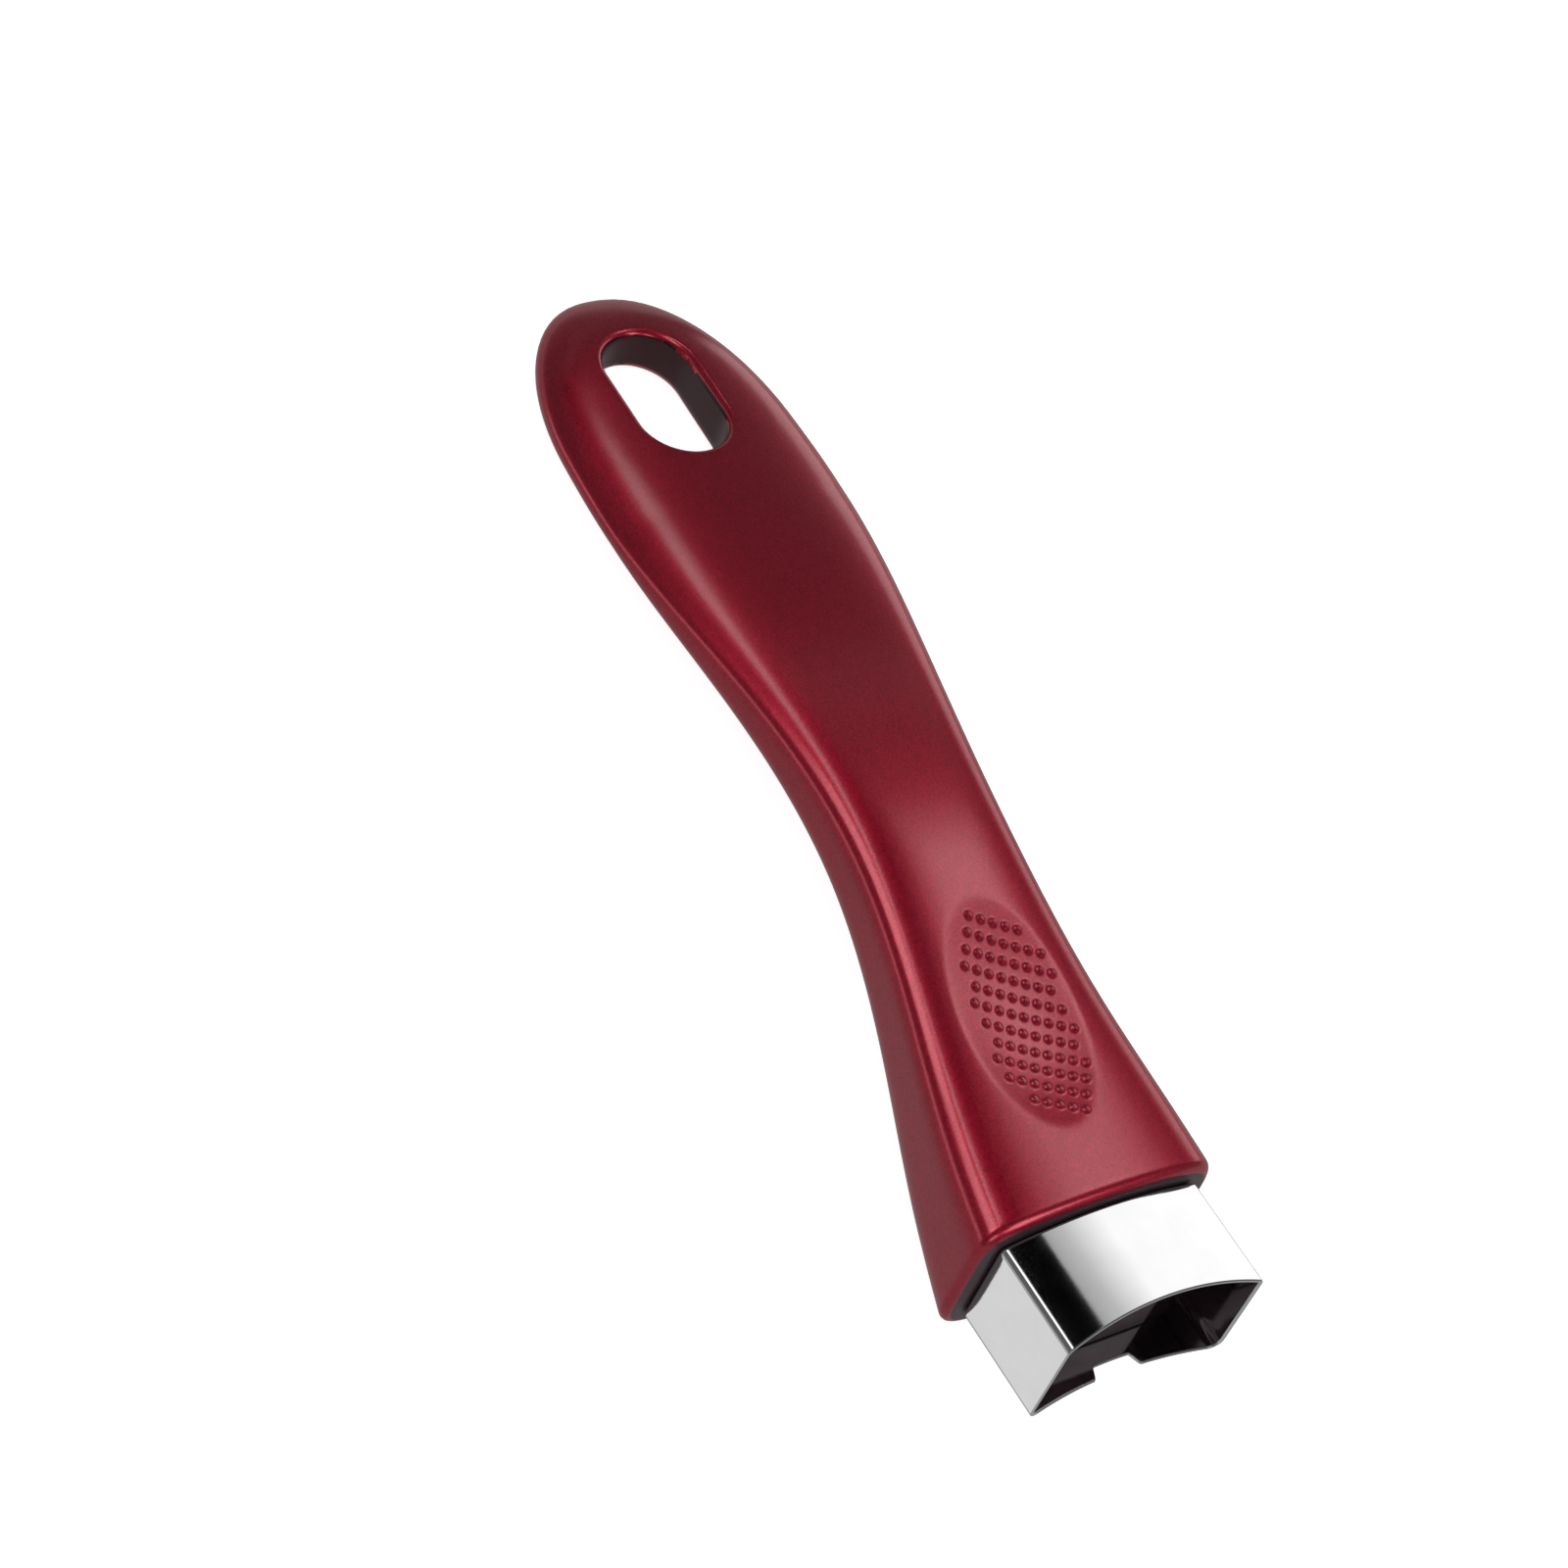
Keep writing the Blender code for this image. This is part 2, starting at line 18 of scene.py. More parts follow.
import bmesh
import bpy
import mathutils
import numpy as np
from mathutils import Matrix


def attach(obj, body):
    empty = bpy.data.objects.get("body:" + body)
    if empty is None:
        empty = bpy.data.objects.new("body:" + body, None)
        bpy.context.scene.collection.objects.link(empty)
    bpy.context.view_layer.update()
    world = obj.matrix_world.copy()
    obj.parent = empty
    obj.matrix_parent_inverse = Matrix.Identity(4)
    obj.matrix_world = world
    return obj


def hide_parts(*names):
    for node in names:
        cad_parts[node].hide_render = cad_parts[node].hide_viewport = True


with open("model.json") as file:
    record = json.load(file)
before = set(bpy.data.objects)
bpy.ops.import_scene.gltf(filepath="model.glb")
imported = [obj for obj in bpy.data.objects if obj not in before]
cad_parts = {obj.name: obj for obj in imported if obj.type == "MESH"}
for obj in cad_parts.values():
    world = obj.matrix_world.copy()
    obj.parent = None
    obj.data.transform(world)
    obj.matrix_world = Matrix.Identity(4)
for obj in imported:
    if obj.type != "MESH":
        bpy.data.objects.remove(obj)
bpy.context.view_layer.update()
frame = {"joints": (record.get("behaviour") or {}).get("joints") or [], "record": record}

record = frame["record"]

# %% [markdown]
# The handle is easiest to describe about the guard's axis: X towards the pan, Z up, and x = 0
# at the grip's front face.  Lying on a table it is tilted about Y.  The tilt is the direction
# that the guard slides in, and the place follows from the mount on the boss's front face.

# %% From the guard's axis to the table
BOSS_LENGTH = 0.0105
BOSS_FACE_HEIGHT = -0.0040

slide = next(joint for joint in frame["joints"] if joint["name"] == "guard_slide")
boss_face = next(mount for mount in record["mounts"] if mount["name"] == "boss_face")
ALONG = np.array(slide["axis"]) / np.linalg.norm(slide["axis"])
ACROSS = np.array([0.0, 1.0, 0.0])
UPWARD = np.cross(ALONG, ACROSS)
AXES = np.stack([ALONG, ACROSS, UPWARD])
ORIGIN = np.array(boss_face["pos_m"]) - np.array([BOSS_LENGTH, 0, BOSS_FACE_HEIGHT]) @ AXES
TILT = math.atan2(ALONG[2], ALONG[0])


def place(points):
    """Points about the guard's axis, an array of (x, y, z) rows, moved to the table's frame."""
    return np.asarray(points, float) @ AXES + ORIGIN


print("tilt in degrees:", round(math.degrees(TILT), 3), "front face's middle:", ORIGIN.round(5))

# %% [markdown]
# Sizes, in metres, as a maker's drawing gives them.  The outlines are (share of the grip's
# length from the front face, size) pairs, with a natural cubic spline through them.

# %% Sizes of the grip
GRIP_LENGTH = 0.1583
GUARD_WIDTH = 0.0342
GUARD_SIDE_HEIGHT = 0.0167
GUARD_FLOOR = -0.0090
GUARD_CROWN = 0.0023
GUARD_TOP = GUARD_FLOOR + GUARD_SIDE_HEIGHT + GUARD_CROWN
SIDE_RIM = 0.0036
TOP_RIM = 0.0024
BOTTOM_RIM = 0.0027
FACE_TOP = GUARD_TOP + TOP_RIM

HALF_WIDTHS = ((0.0, GUARD_WIDTH / 2 + SIDE_RIM), (0.07, 0.0193), (0.21, 0.0154),
               (0.37, 0.0136), (0.54, 0.0166), (0.71, 0.0202), (0.87, 0.0194))
TOP_HEIGHTS = ((0.0, FACE_TOP), (0.15, 0.0177), (0.33, 0.0266), (0.51, 0.0317),
               (0.69, 0.0334), (0.87, 0.0344))
THICKNESSES = ((0.0, FACE_TOP - GUARD_FLOOR + BOTTOM_RIM), (0.21, 0.0166), (0.51, 0.0109),
               (0.87, 0.0089))
TOP_CROWN = ((0.0, 0.0014), (0.5, 0.0005), (1.0, 0.0))
LAST_STATION = 0.87
FRONT_SQUARENESS = 6.5
TAIL_SQUARENESS = 2.3
SQUARENESS_FADE = 0.72
TAIL_ROUND_WIDE = 0.0288
TAIL_ROUND_HIGH = 0.0190
TAIL_CURVE = 2.2
FRONT_EDGE_RADIUS = 0.0015

HOLE_MIDDLE = -(GRIP_LENGTH - 0.0223)
HOLE_LENGTH = 0.0244
HOLE_WIDTH = 0.0144
HOLE_EDGE_RADIUS = 0.0012

REST_MIDDLE = -0.0272
REST_LENGTH = 0.0334
REST_WIDTH = 0.0190
REST_DEPTH = 0.0009


# %% [markdown]
# ## Curves
#
# A spline through a few stations gives an even, slow change of shape, as a mould maker's
# curves do.  A polynomial through the same stations would swing between them, and straight
# runs would show as bands in the gloss.

# %% The splines
def smooth_curve(stations, at):
    """The natural cubic spline through (position, value) pairs, read at the positions given.

    Its second derivatives solve one linear system, with zero bend at both ends."""
    spot = np.array([p for p, _ in stations])
    value = np.array([v for _, v in stations])
    step = np.diff(spot)
    slope = np.diff(value) / step
    matrix = np.eye(len(spot))
    inner = np.arange(1, len(spot) - 1)
    matrix[inner, inner - 1] = step[:-1]
    matrix[inner, inner] = 2 * (step[:-1] + step[1:])
    matrix[inner, inner + 1] = step[1:]
    right = np.zeros(len(spot))
    right[inner] = 6 * np.diff(slope)
    bend = np.linalg.solve(matrix, right)
    j = np.clip(np.searchsorted(spot, at) - 1, 0, len(spot) - 2)
    a = (spot[j + 1] - at) / step[j]
    b = (at - spot[j]) / step[j]
    curved = (a ** 3 - a) * bend[j] + (b ** 3 - b) * bend[j + 1]
    return a * value[j] + b * value[j + 1] + curved * step[j] ** 2 / 6


def outline_value(stations, share):
    """A spline's value, carried straight on past its last station."""
    tiny = 0.001
    last = smooth_curve(stations, np.array([LAST_STATION - tiny, LAST_STATION]))
    slope = (last[1] - last[0]) / tiny
    inside = np.minimum(share, LAST_STATION)
    return smooth_curve(stations, inside) + (share - inside) * slope


def rounded_end(distance, length, power):
    """1 until the last stretch of the grip, then a superellipse quarter down to 0 at the tip."""
    inside = np.clip((distance - (GRIP_LENGTH - length)) / length, 0, 1)
    return np.maximum(1 - inside ** power, 0) ** (1 / power)


def profile(x):
    """Half width, middle height, half thickness, squareness and crown of the sections at x."""
    distance = -x
    share = distance / GRIP_LENGTH
    thickness = outline_value(THICKNESSES, share)
    middle = outline_value(TOP_HEIGHTS, share) - thickness / 2
    half_width = (outline_value(HALF_WIDTHS, share)
                  * rounded_end(distance, TAIL_ROUND_WIDE, TAIL_CURVE))
    half_height = thickness / 2 * rounded_end(distance, TAIL_ROUND_HIGH, 2.0)
    fade = np.clip(share / SQUARENESS_FADE, 0, 1)
    squareness = FRONT_SQUARENESS + (TAIL_SQUARENESS - FRONT_SQUARENESS) * fade
    return half_width, middle, half_height, squareness, smooth_curve(TOP_CROWN, share)


print("widest at the front:", 2 * profile(np.array([0.0]))[0].round(4))


# %% [markdown]
# ## Meshes from arrays
#
# Each surface is worked out as whole arrays of points, and these few helpers turn them into
# meshes.  A grid's quads are found from its index array, so no face is listed by hand.

# %% Grids of faces
def grid_faces(index, wrap=False):
    """Quads between neighbouring rows and columns of an array of point numbers.

    With wrap the last column joins the first."""
    if wrap:
        index = np.concatenate([index, index[:, :1]], axis=1)
    corners = index[:-1, :-1], index[:-1, 1:], index[1:, 1:], index[1:, :-1]
    return np.stack(corners, axis=-1).reshape(-1, 4)


def make_piece(name, points, faces, merge=1e-6):
    """A smooth-shaded mesh object at the origin, its doubles merged and its faces outward."""
    mesh = bpy.data.meshes.new(name)
    mesh.from_pydata(points.tolist(), [], [list(f) for f in faces])
    work = bmesh.new()
    work.from_mesh(mesh)
    bmesh.ops.remove_doubles(work, verts=work.verts, dist=merge)
    bmesh.ops.dissolve_degenerate(work, edges=work.edges, dist=merge / 10)
    bmesh.ops.recalc_face_normals(work, faces=work.faces)
    work.to_mesh(mesh)
    work.free()
    piece = bpy.data.objects.new(name, mesh)
    bpy.context.scene.collection.objects.link(piece)
    mesh.shade_smooth()
    return piece


def bake(piece, sharp_degrees):
    """Puts a piece's modifiers into its mesh and marks the edges steeper than the angle."""
    finished = piece.evaluated_get(bpy.context.evaluated_depsgraph_get())
    mesh = bpy.data.meshes.new_from_object(finished)
    piece.modifiers.clear()
    piece.data = mesh
    mesh.shade_smooth()
    mesh.set_sharp_from_angle(angle=math.radians(sharp_degrees))


def cut(piece, other, operation):
    """A Boolean of a piece with another closed shape, which is then removed."""
    modifier = piece.modifiers.new(operation.lower(), "BOOLEAN")
    modifier.operation = operation
    modifier.solver = "MANIFOLD"
    modifier.object = other
    finished = piece.evaluated_get(bpy.context.evaluated_depsgraph_get())
    mesh = bpy.data.meshes.new_from_object(finished)
    piece.modifiers.clear()
    piece.data = mesh
    bpy.data.objects.remove(other)


def loft(name, rings):
    """A closed piece over an array of rings (rows, points, 3), each end closed by one face."""
    rows, count = rings.shape[:2]
    index = np.arange(rows * count).reshape(rows, count)
    faces = [list(f) for f in grid_faces(index, wrap=True)]
    faces += [index[0].tolist(), index[-1].tolist()]
    return make_piece(name, place(rings.reshape(-1, 3)), faces)


# %% [markdown]
# ## The grip's skin
#
# The grip is one moulded piece.  Its sections go from a nearly square block with round corners
# at the guard to a flat oval at the tail.  A box with subdivision would need a cage that
# nobody could read, and sculpting couldn't be repeated.  So the skin is one grid: rows are
# stations along the grip and columns are directions round half a section, and the other half
# is its mirror image.
#
# Rows are closest where there is fine detail: 0.2 mm apart at the thumb rest, and crowded
# towards the two ends of the hanging hole, where the hole's edge turns across the rows.

# %% Stations along the grip
FINE_STEP = 0.0002
COARSE_STEP = 0.0011
EDGE_STEP = 0.00013
EDGE_REACH = 1.1 * HOLE_EDGE_RADIUS
REST_OVERRUN = 0.0012
ROUND_STATIONS = 20
TIP_STATIONS = 11
TIP_START = 0.02


def eased(start, end, count):
    """Positions from start to end, crowded towards both, from a half turn of a cosine."""
    return start + (end - start) * (1 - np.cos(np.linspace(0, math.pi, count))) / 2


def even(start, end, step):
    """Positions from start up to but not including end, about one step apart."""
    count = max(2, round(abs(end - start) / step) + 1)
    return np.linspace(start, end, count)[:-1]


def stations():
    """Every row's x, from the tip to the start of the front edge's rounding."""
    hole_rear, hole_front = HOLE_MIDDLE - HOLE_LENGTH / 2, HOLE_MIDDLE + HOLE_LENGTH / 2
    rear_edge, front_edge = hole_rear - EDGE_REACH, hole_front + EDGE_REACH
    rest_rear = REST_MIDDLE - REST_LENGTH / 2 - FINE_STEP
    rest_front = REST_MIDDLE + REST_LENGTH / 2 + REST_OVERRUN + FINE_STEP
    tip_turn = np.linspace(TIP_START, math.pi / 2, TIP_STATIONS + 1)[:-1]
    end = HOLE_WIDTH / 2
    end_rows = end * (1 - np.cos(np.linspace(0, math.pi / 2, ROUND_STATIONS)))
    return np.concatenate([
        -GRIP_LENGTH + (rear_edge + GRIP_LENGTH) * (1 - np.cos(tip_turn)),
        even(rear_edge, hole_rear, EDGE_STEP),
        hole_rear + end_rows,
        even(hole_rear + end, hole_front - end, COARSE_STEP)[1:],
        (hole_front - end_rows)[::-1],
        even(hole_front, front_edge, EDGE_STEP)[1:],
        even(front_edge, rest_rear, COARSE_STEP),
        even(rest_rear, rest_front, FINE_STEP),
        even(rest_front, -FRONT_EDGE_RADIUS, COARSE_STEP / 2),
        np.array([-FRONT_EDGE_RADIUS])])


ROW_X = stations()
print(len(ROW_X), "stations, closest", round(1000 * np.diff(ROW_X).min(), 4), "mm apart")

# %% [markdown]
# A column is a direction in the section's own square: straight up is 90 degrees and straight
# down is -90.  The first columns are spaced evenly across the flat top, for the thumb rest,
# and the others are spaced evenly by angle, which puts them close together at the corners.
#
# The superellipse |y/w|^n + |z/h|^n = 1 has its point in the direction (c, s) at the distance
# (|c|^n + |s|^n)^(-1/n), which gives evenly spaced points at any squareness n.

# %% Columns round half a section
TOP_COLUMNS = 54
TOP_SHARE = 0.72
ROUND_COLUMNS = 46

flat_part = np.arctan2(1, np.linspace(0, TOP_SHARE, TOP_COLUMNS))
round_part = np.linspace(flat_part[-1], -math.pi / 2, ROUND_COLUMNS + 1)[1:]
COLUMN_TURN = np.concatenate([flat_part, round_part])


def hole_half_width(x):
    """Half the hanging hole's width at x: a stadium's, and 0 beyond its ends."""
    radius = HOLE_WIDTH / 2
    past = np.maximum(np.abs(x - HOLE_MIDDLE) - (HOLE_LENGTH / 2 - radius), 0)
    return np.sqrt(np.maximum(radius ** 2 - past ** 2, 0))


def hole_distance(x, y):
    """How far a point of the plan is outside the hanging hole, negative inside it."""
    radius = HOLE_WIDTH / 2
    past = np.maximum(np.abs(x - HOLE_MIDDLE) - (HOLE_LENGTH / 2 - radius), 0)
    return np.hypot(past, y) - radius


def hole_edge_drop(x, y):
    """How far the skin turns in at the hole's edge: a quarter round of the edge's radius."""
    r = HOLE_EDGE_RADIUS
    inward = np.clip(r - hole_distance(x, y), 0, r)
    return r - np.sqrt(r ** 2 - inward ** 2)


print(len(COLUMN_TURN), "columns in half a section")

# %% [markdown]
# ## The thumb rest
#
# The dish in the top is an oval, and about eighty low domes stand in it for grip.  They
# could be a bump in the material, but a bump has no edge that catches the light, so they are
# real shape.  The domes sit on a slanted lattice: two steps, repeated both ways, and those
# whose middles fall inside an oval of their own are kept.

# %% Dish and domes
DOME_STEP_A = np.array([0.00091, 0.00169])
DOME_STEP_B = np.array([0.00207, -0.00126])
DOME_RADIUS = 0.00080
DOME_HEIGHT = 0.00028
DOMES_AHEAD = 0.0004
DOMES_ASIDE = 0.0008
DOMES_LENGTH = 0.95 * REST_LENGTH
DOMES_WIDTH = 0.80 * REST_WIDTH
LATTICE_REACH = 16
REST_RIM = 0.09


def gentle(t):
    """A step from 0 to 1 that starts and ends level: 3t^2 - 2t^3."""
    t = np.clip(t, 0, 1)
    return t * t * (3 - 2 * t)


def dome_middles():
    """The lattice points inside their oval, which is a little smaller than the dish's."""
    count = np.arange(-LATTICE_REACH, LATTICE_REACH + 1)
    i, j = np.meshgrid(count, count)
    points = i.ravel()[:, None] * DOME_STEP_A + j.ravel()[:, None] * DOME_STEP_B
    inside = np.hypot(points[:, 0] / (DOMES_LENGTH / 2), points[:, 1] / (DOMES_WIDTH / 2))
    middle = np.array([REST_MIDDLE + DOMES_AHEAD, DOMES_ASIDE])
    return points[inside < 1] + middle


def rest_relief(x, y):
    """Height that the thumb rest adds to the top: a dish, and its domes.

    The dish is t = 1 - u^2 - v^2 deep, (t + sqrt(t^2 + rim^2)) / 2 softens its rim, and a
    dome is half a squared cosine wave round its middle."""
    depth = 1 - ((x - REST_MIDDLE) / (REST_LENGTH / 2)) ** 2 - (y / (REST_WIDTH / 2)) ** 2
    relief = -REST_DEPTH * (depth + np.sqrt(depth ** 2 + REST_RIM ** 2)) / 2
    near = np.full(x.shape, np.inf)
    for middle in dome_middles():
        near = np.minimum(near, np.hypot(x - middle[0], y - middle[1]))
    return relief + DOME_HEIGHT * np.cos(np.minimum(near / DOME_RADIUS, 1) * math.pi / 2) ** 2


print(len(dome_middles()), "domes")


# %% [markdown]
# Now the skin itself.  In the rows that the hanging hole crosses, the columns are squeezed
# outwards, so that the first and the last column run along the hole's edge instead of the
# middle line.  The hole's wall is another grid between those two columns.

# %% The skin
UPPER_COLUMNS = TOP_COLUMNS + ROUND_COLUMNS // 3
FRONT_EDGE_RINGS = 8
WALL_ROWS = 7
TOUCHING = 1e-9


def half_skin(x, inset=0.0):
    """Points of half the skin, an array (rows, columns, 3), for the rows at x.

    The inset moves them all in towards the section's middle."""
    half_width, middle, half_height, squareness, crown = (v[:, None] for v in profile(x))
    first = np.arctan2(1, hole_half_width(x) / np.maximum(half_width[:, 0], 1e-6))[:, None]
    turn = COLUMN_TURN[None, :] * first / (math.pi / 2)
    c, s = np.cos(turn), np.sin(turn)
    reach = (np.abs(c) ** squareness + np.abs(s) ** squareness) ** (-1 / squareness)
    across, up = np.maximum(reach * c, 0), reach * s
    y = (half_width - inset) * across
    z = middle + (half_height - inset) * up - np.maximum(up, 0) * crown * across ** 2
    station = np.broadcast_to(x[:, None], y.shape)
    return np.stack([station, y, z], axis=-1)


def settle_edges(skin, side):
    """Half the skin, put on its side (1 or -1), with the hole's rounded edges above and below
    and the thumb rest on top.  The domes aren't the same on both sides, so each has its own."""
    x, y, z = skin[..., 0], side * skin[..., 1], skin[..., 2]
    upper = np.arange(skin.shape[1])[None, :] < UPPER_COLUMNS
    turned_in = hole_edge_drop(x, y)
    z = z + np.where(upper, rest_relief(x, y) - turned_in, turned_in)
    return np.stack([x, y, z], axis=-1)


def front_rounding():
    """Half rings that turn the front edge in by a quarter round."""
    r = FRONT_EDGE_RADIUS
    turns = np.linspace(0, math.pi / 2, FRONT_EDGE_RINGS + 1)[1:]
    return np.concatenate([
        half_skin(np.array([r * (math.sin(t) - 1)]), r * (1 - math.cos(t))) for t in turns])


def grip_skin():
    """The whole grip as one closed piece: two half skins, the hole's wall and two end faces."""
    skin = half_skin(ROW_X)
    # The hole's edge is drawn exactly on its own outline, above and below.
    crossed = np.abs(ROW_X - HOLE_MIDDLE) < HOLE_LENGTH / 2 + TOUCHING
    for column in (0, -1):
        skin[crossed, column, 1] = hole_half_width(ROW_X[crossed])
    edge = front_rounding()
    half = np.concatenate([settle_edges(skin, 1), edge])
    mirrored = np.concatenate([settle_edges(skin, -1), edge * np.array([1, -1, 1])])
    rows, columns = half.shape[:2]
    index = np.arange(rows * columns).reshape(rows, columns)
    faces = [grid_faces(index), grid_faces(index + rows * columns)]
    points = [half.reshape(-1, 3), mirrored.reshape(-1, 3)]
    count = 2 * rows * columns
    share = np.linspace(0, 1, WALL_ROWS)[None, :, None]
    for side in (half, mirrored):
        rim = side[:len(ROW_X)][crossed]
        wall = rim[:, :1] * (1 - share) + rim[:, -1:] * share
        wall_index = np.arange(wall[..., 0].size).reshape(wall.shape[:2]) + count
        faces.append(grid_faces(wall_index))
        points.append(wall.reshape(-1, 3))
        count += wall_index.size
    ends = [index[row].tolist() + (index[row, 1:-1] + rows * columns)[::-1].tolist()
            for row in (0, -1)]
    listed = [face for block in faces for face in block.tolist()] + ends
    return make_piece("grip_lacquered", place(np.concatenate(points)), listed)


grip = grip_skin()
print("grip skin:", len(grip.data.vertices), "points")


# %% [markdown]
# ## The guard's outline
#
# The flame guard and the seat that it slips on share one outline: a flat floor, upright sides
# and a top with a slight crown.  It is made of arcs joined by straight runs, and each point
# carries its outward normal, so that the outline can be moved in by any distance.

# %% Outline of arcs and straight runs
GUARD_TOP_RADIUS = 0.0009
GUARD_BOTTOM_RADIUS = 0.0022
GUARD_LENGTH = 0.0176
GUARD_SHEET = 0.0006
SEAT_GAP = 0.0003
FLOOR_POINTS = 121
BOTTOM_CORNER_POINTS = 12
SIDE_POINTS = 10
TOP_CORNER_POINTS = 9
CROWN_POINTS = 61


def arc_run(centre, radius, start, end, count):
    """Points and outward normals of an arc in the Y-Z plane."""
    turn = np.linspace(start, end, count)
    normal = np.stack([np.cos(turn), np.sin(turn)], axis=-1)
    return np.array(centre) + radius * normal, normal


def straight_run(start, end, count):
    """Points strictly between two others, with the normal on the right of the way."""
    share = np.linspace(0, 1, count + 2)[1:-1, None]
    way = np.array(end) - np.array(start)
    normal = np.array([way[1], -way[0]]) / np.hypot(*way)
    return np.array(start) + share * way, np.repeat(normal[None], count, axis=0)


def guard_outline():
    """The guard's outside, anticlockwise from the floor's left end: points and normals."""
    half, right = GUARD_WIDTH / 2, math.pi / 2
    low, round_low, round_top = GUARD_FLOOR, GUARD_BOTTOM_RADIUS, GUARD_TOP_RADIUS
    crown_radius = (half ** 2 + GUARD_CROWN ** 2) / (2 * GUARD_CROWN)
    crown_centre = GUARD_TOP - crown_radius
    corner_y = half - round_top
    rise = math.sqrt((crown_radius - round_top) ** 2 - corner_y ** 2)
    corner_z = crown_centre + rise
    lean = math.atan2(rise, corner_y)
    side, bottom, top = SIDE_POINTS, BOTTOM_CORNER_POINTS, TOP_CORNER_POINTS
    bottom_z, bottom_y = low + round_low, half - round_low
    runs = [
        straight_run((-bottom_y, low), (bottom_y, low), FLOOR_POINTS),
        arc_run((bottom_y, bottom_z), round_low, -right, 0, bottom),
        straight_run((half, bottom_z), (half, corner_z), side),
        arc_run((corner_y, corner_z), round_top, 0, lean, top),
        arc_run((0, crown_centre), crown_radius, lean, math.pi - lean, CROWN_POINTS),
        arc_run((-corner_y, corner_z), round_top, math.pi - lean, math.pi, top),
        straight_run((-half, corner_z), (-half, bottom_z), side),
        arc_run((-bottom_y, bottom_z), round_low, math.pi, 3 * right, bottom)]
    return np.concatenate([p for p, _ in runs]), np.concatenate([n for _, n in runs])


OUTLINE, OUTLINE_NORMAL = guard_outline()
print("guard outline:", len(OUTLINE), "points")

# %% [markdown]
# ## The guard's seat
#
# In front of the face the grip carries a low step that fills the guard, and a narrower boss
# that reaches forward inside it.  The pan's bracket slides into a socket in the boss, and the
# screw comes up from a round pocket in the underside.  They are plain shapes, so they are
# joined to the skin and cut from it by Booleans, and the result is baked.

# %% Step, boss, socket and pocket
STEP_LENGTH = 0.0030
BOSS_WIDTH = 0.0162
BOSS_EDGE = 0.0005
SOCKET_WIDTH = 0.0108
SOCKET_LOW = 0.0003
SOCKET_TOP = 0.0071
SOCKET_BEHIND_FACE = 0.0125
SOCKET_CORNER = 0.0010
SCREW_X = -0.0075
SCREW_HOLE_RADIUS = 0.0024
POCKET_RADIUS = 0.0048
POCKET_FLOOR = -0.0020
POCKET_CHAMFER = 0.0004
POCKET_OVERCUT = 0.0050
OVERCUT = 0.0040
MOST_INSET = 0.98 * GUARD_TOP_RADIUS
BOSS_EDGE_RINGS = 5
SOCKET_STEPS = 32
GRIP_SHARP_DEGREES = 48


def seat_block(name, front, half_width):
    """The guard's outline moved in by the sheet and its gap, no wider than half_width, with
    its front edge turned in by a small radius.

    Past the inset that the outline's smallest corner allows, it is scaled down instead."""
    inset = GUARD_SHEET + SEAT_GAP
    turn = np.linspace(0, math.pi / 2, BOSS_EDGE_RINGS)
    xs = np.concatenate([[-OVERCUT], front - BOSS_EDGE * (1 - np.sin(turn))])
    insets = np.concatenate([[0], BOSS_EDGE * (1 - np.cos(turn))])
    rings = []
    for x, extra in zip(xs, insets):
        ring = OUTLINE - OUTLINE_NORMAL * min(inset + extra, MOST_INSET)
        ring = ring * (1 - max(inset + extra - MOST_INSET, 0) / (GUARD_WIDTH / 2))
        limit = half_width - extra
        ring[:, 0] = np.clip(ring[:, 0], -limit, limit)
        rings.append(np.column_stack([np.full(len(ring), x), ring]))
    return loft(name, np.array(rings))


def box_with_round_corners(name, low, high, radius):
    """A long box whose section has round corners, from the low to the high corner."""
    half = (np.array(high) - np.array(low))[1:] / 2 - radius
    middle = (np.array(high) + np.array(low))[1:] / 2
    turn = np.linspace(0, 2 * math.pi, SOCKET_STEPS + 1)[:-1] + math.pi / SOCKET_STEPS
    way = np.stack([np.cos(turn), np.sin(turn)], axis=-1)
    ring = middle + np.sign(way) * half + radius * way
    ends = [np.column_stack([np.full(len(ring), x), ring]) for x in (low[0], high[0])]
    return loft(name, np.array(ends))


def stack_of_discs(name, levels, count=64):
    """An upright solid on the screw's axis, from (radius, height) pairs going up."""
    turn = np.linspace(0, 2 * math.pi, count + 1)[:-1]
    rings = [np.column_stack([SCREW_X + r * np.cos(turn), r * np.sin(turn),
                              np.full(count, z)]) for r, z in levels]
    return loft(name, np.array(rings))


_, face_middle, face_half, _, _ = profile(np.array([SCREW_X]))
underside = float(face_middle[0] - face_half[0])
cut(grip, seat_block("guard_step", STEP_LENGTH, GUARD_WIDTH), "UNION")
cut(grip, seat_block("guard_boss", BOSS_LENGTH, BOSS_WIDTH / 2), "UNION")
cut(grip, box_with_round_corners(
    "bracket_socket", (-SOCKET_BEHIND_FACE, -SOCKET_WIDTH / 2, SOCKET_LOW),
    (BOSS_LENGTH + OVERCUT, SOCKET_WIDTH / 2, SOCKET_TOP), SOCKET_CORNER), "DIFFERENCE")
cut(grip, stack_of_discs("screw_hole", [
    (SCREW_HOLE_RADIUS, underside - OVERCUT), (SCREW_HOLE_RADIUS, SOCKET_TOP / 2)]), "DIFFERENCE")
cut(grip, stack_of_discs("screw_pocket", [
    (POCKET_RADIUS + POCKET_CHAMFER, underside - POCKET_OVERCUT),
    (POCKET_RADIUS + POCKET_CHAMFER, underside), (POCKET_RADIUS, underside + POCKET_CHAMFER),
    (POCKET_RADIUS, POCKET_FLOOR)]), "DIFFERENCE")
bake(grip, GRIP_SHARP_DEGREES)
print("grip:", len(grip.data.polygons), "faces")

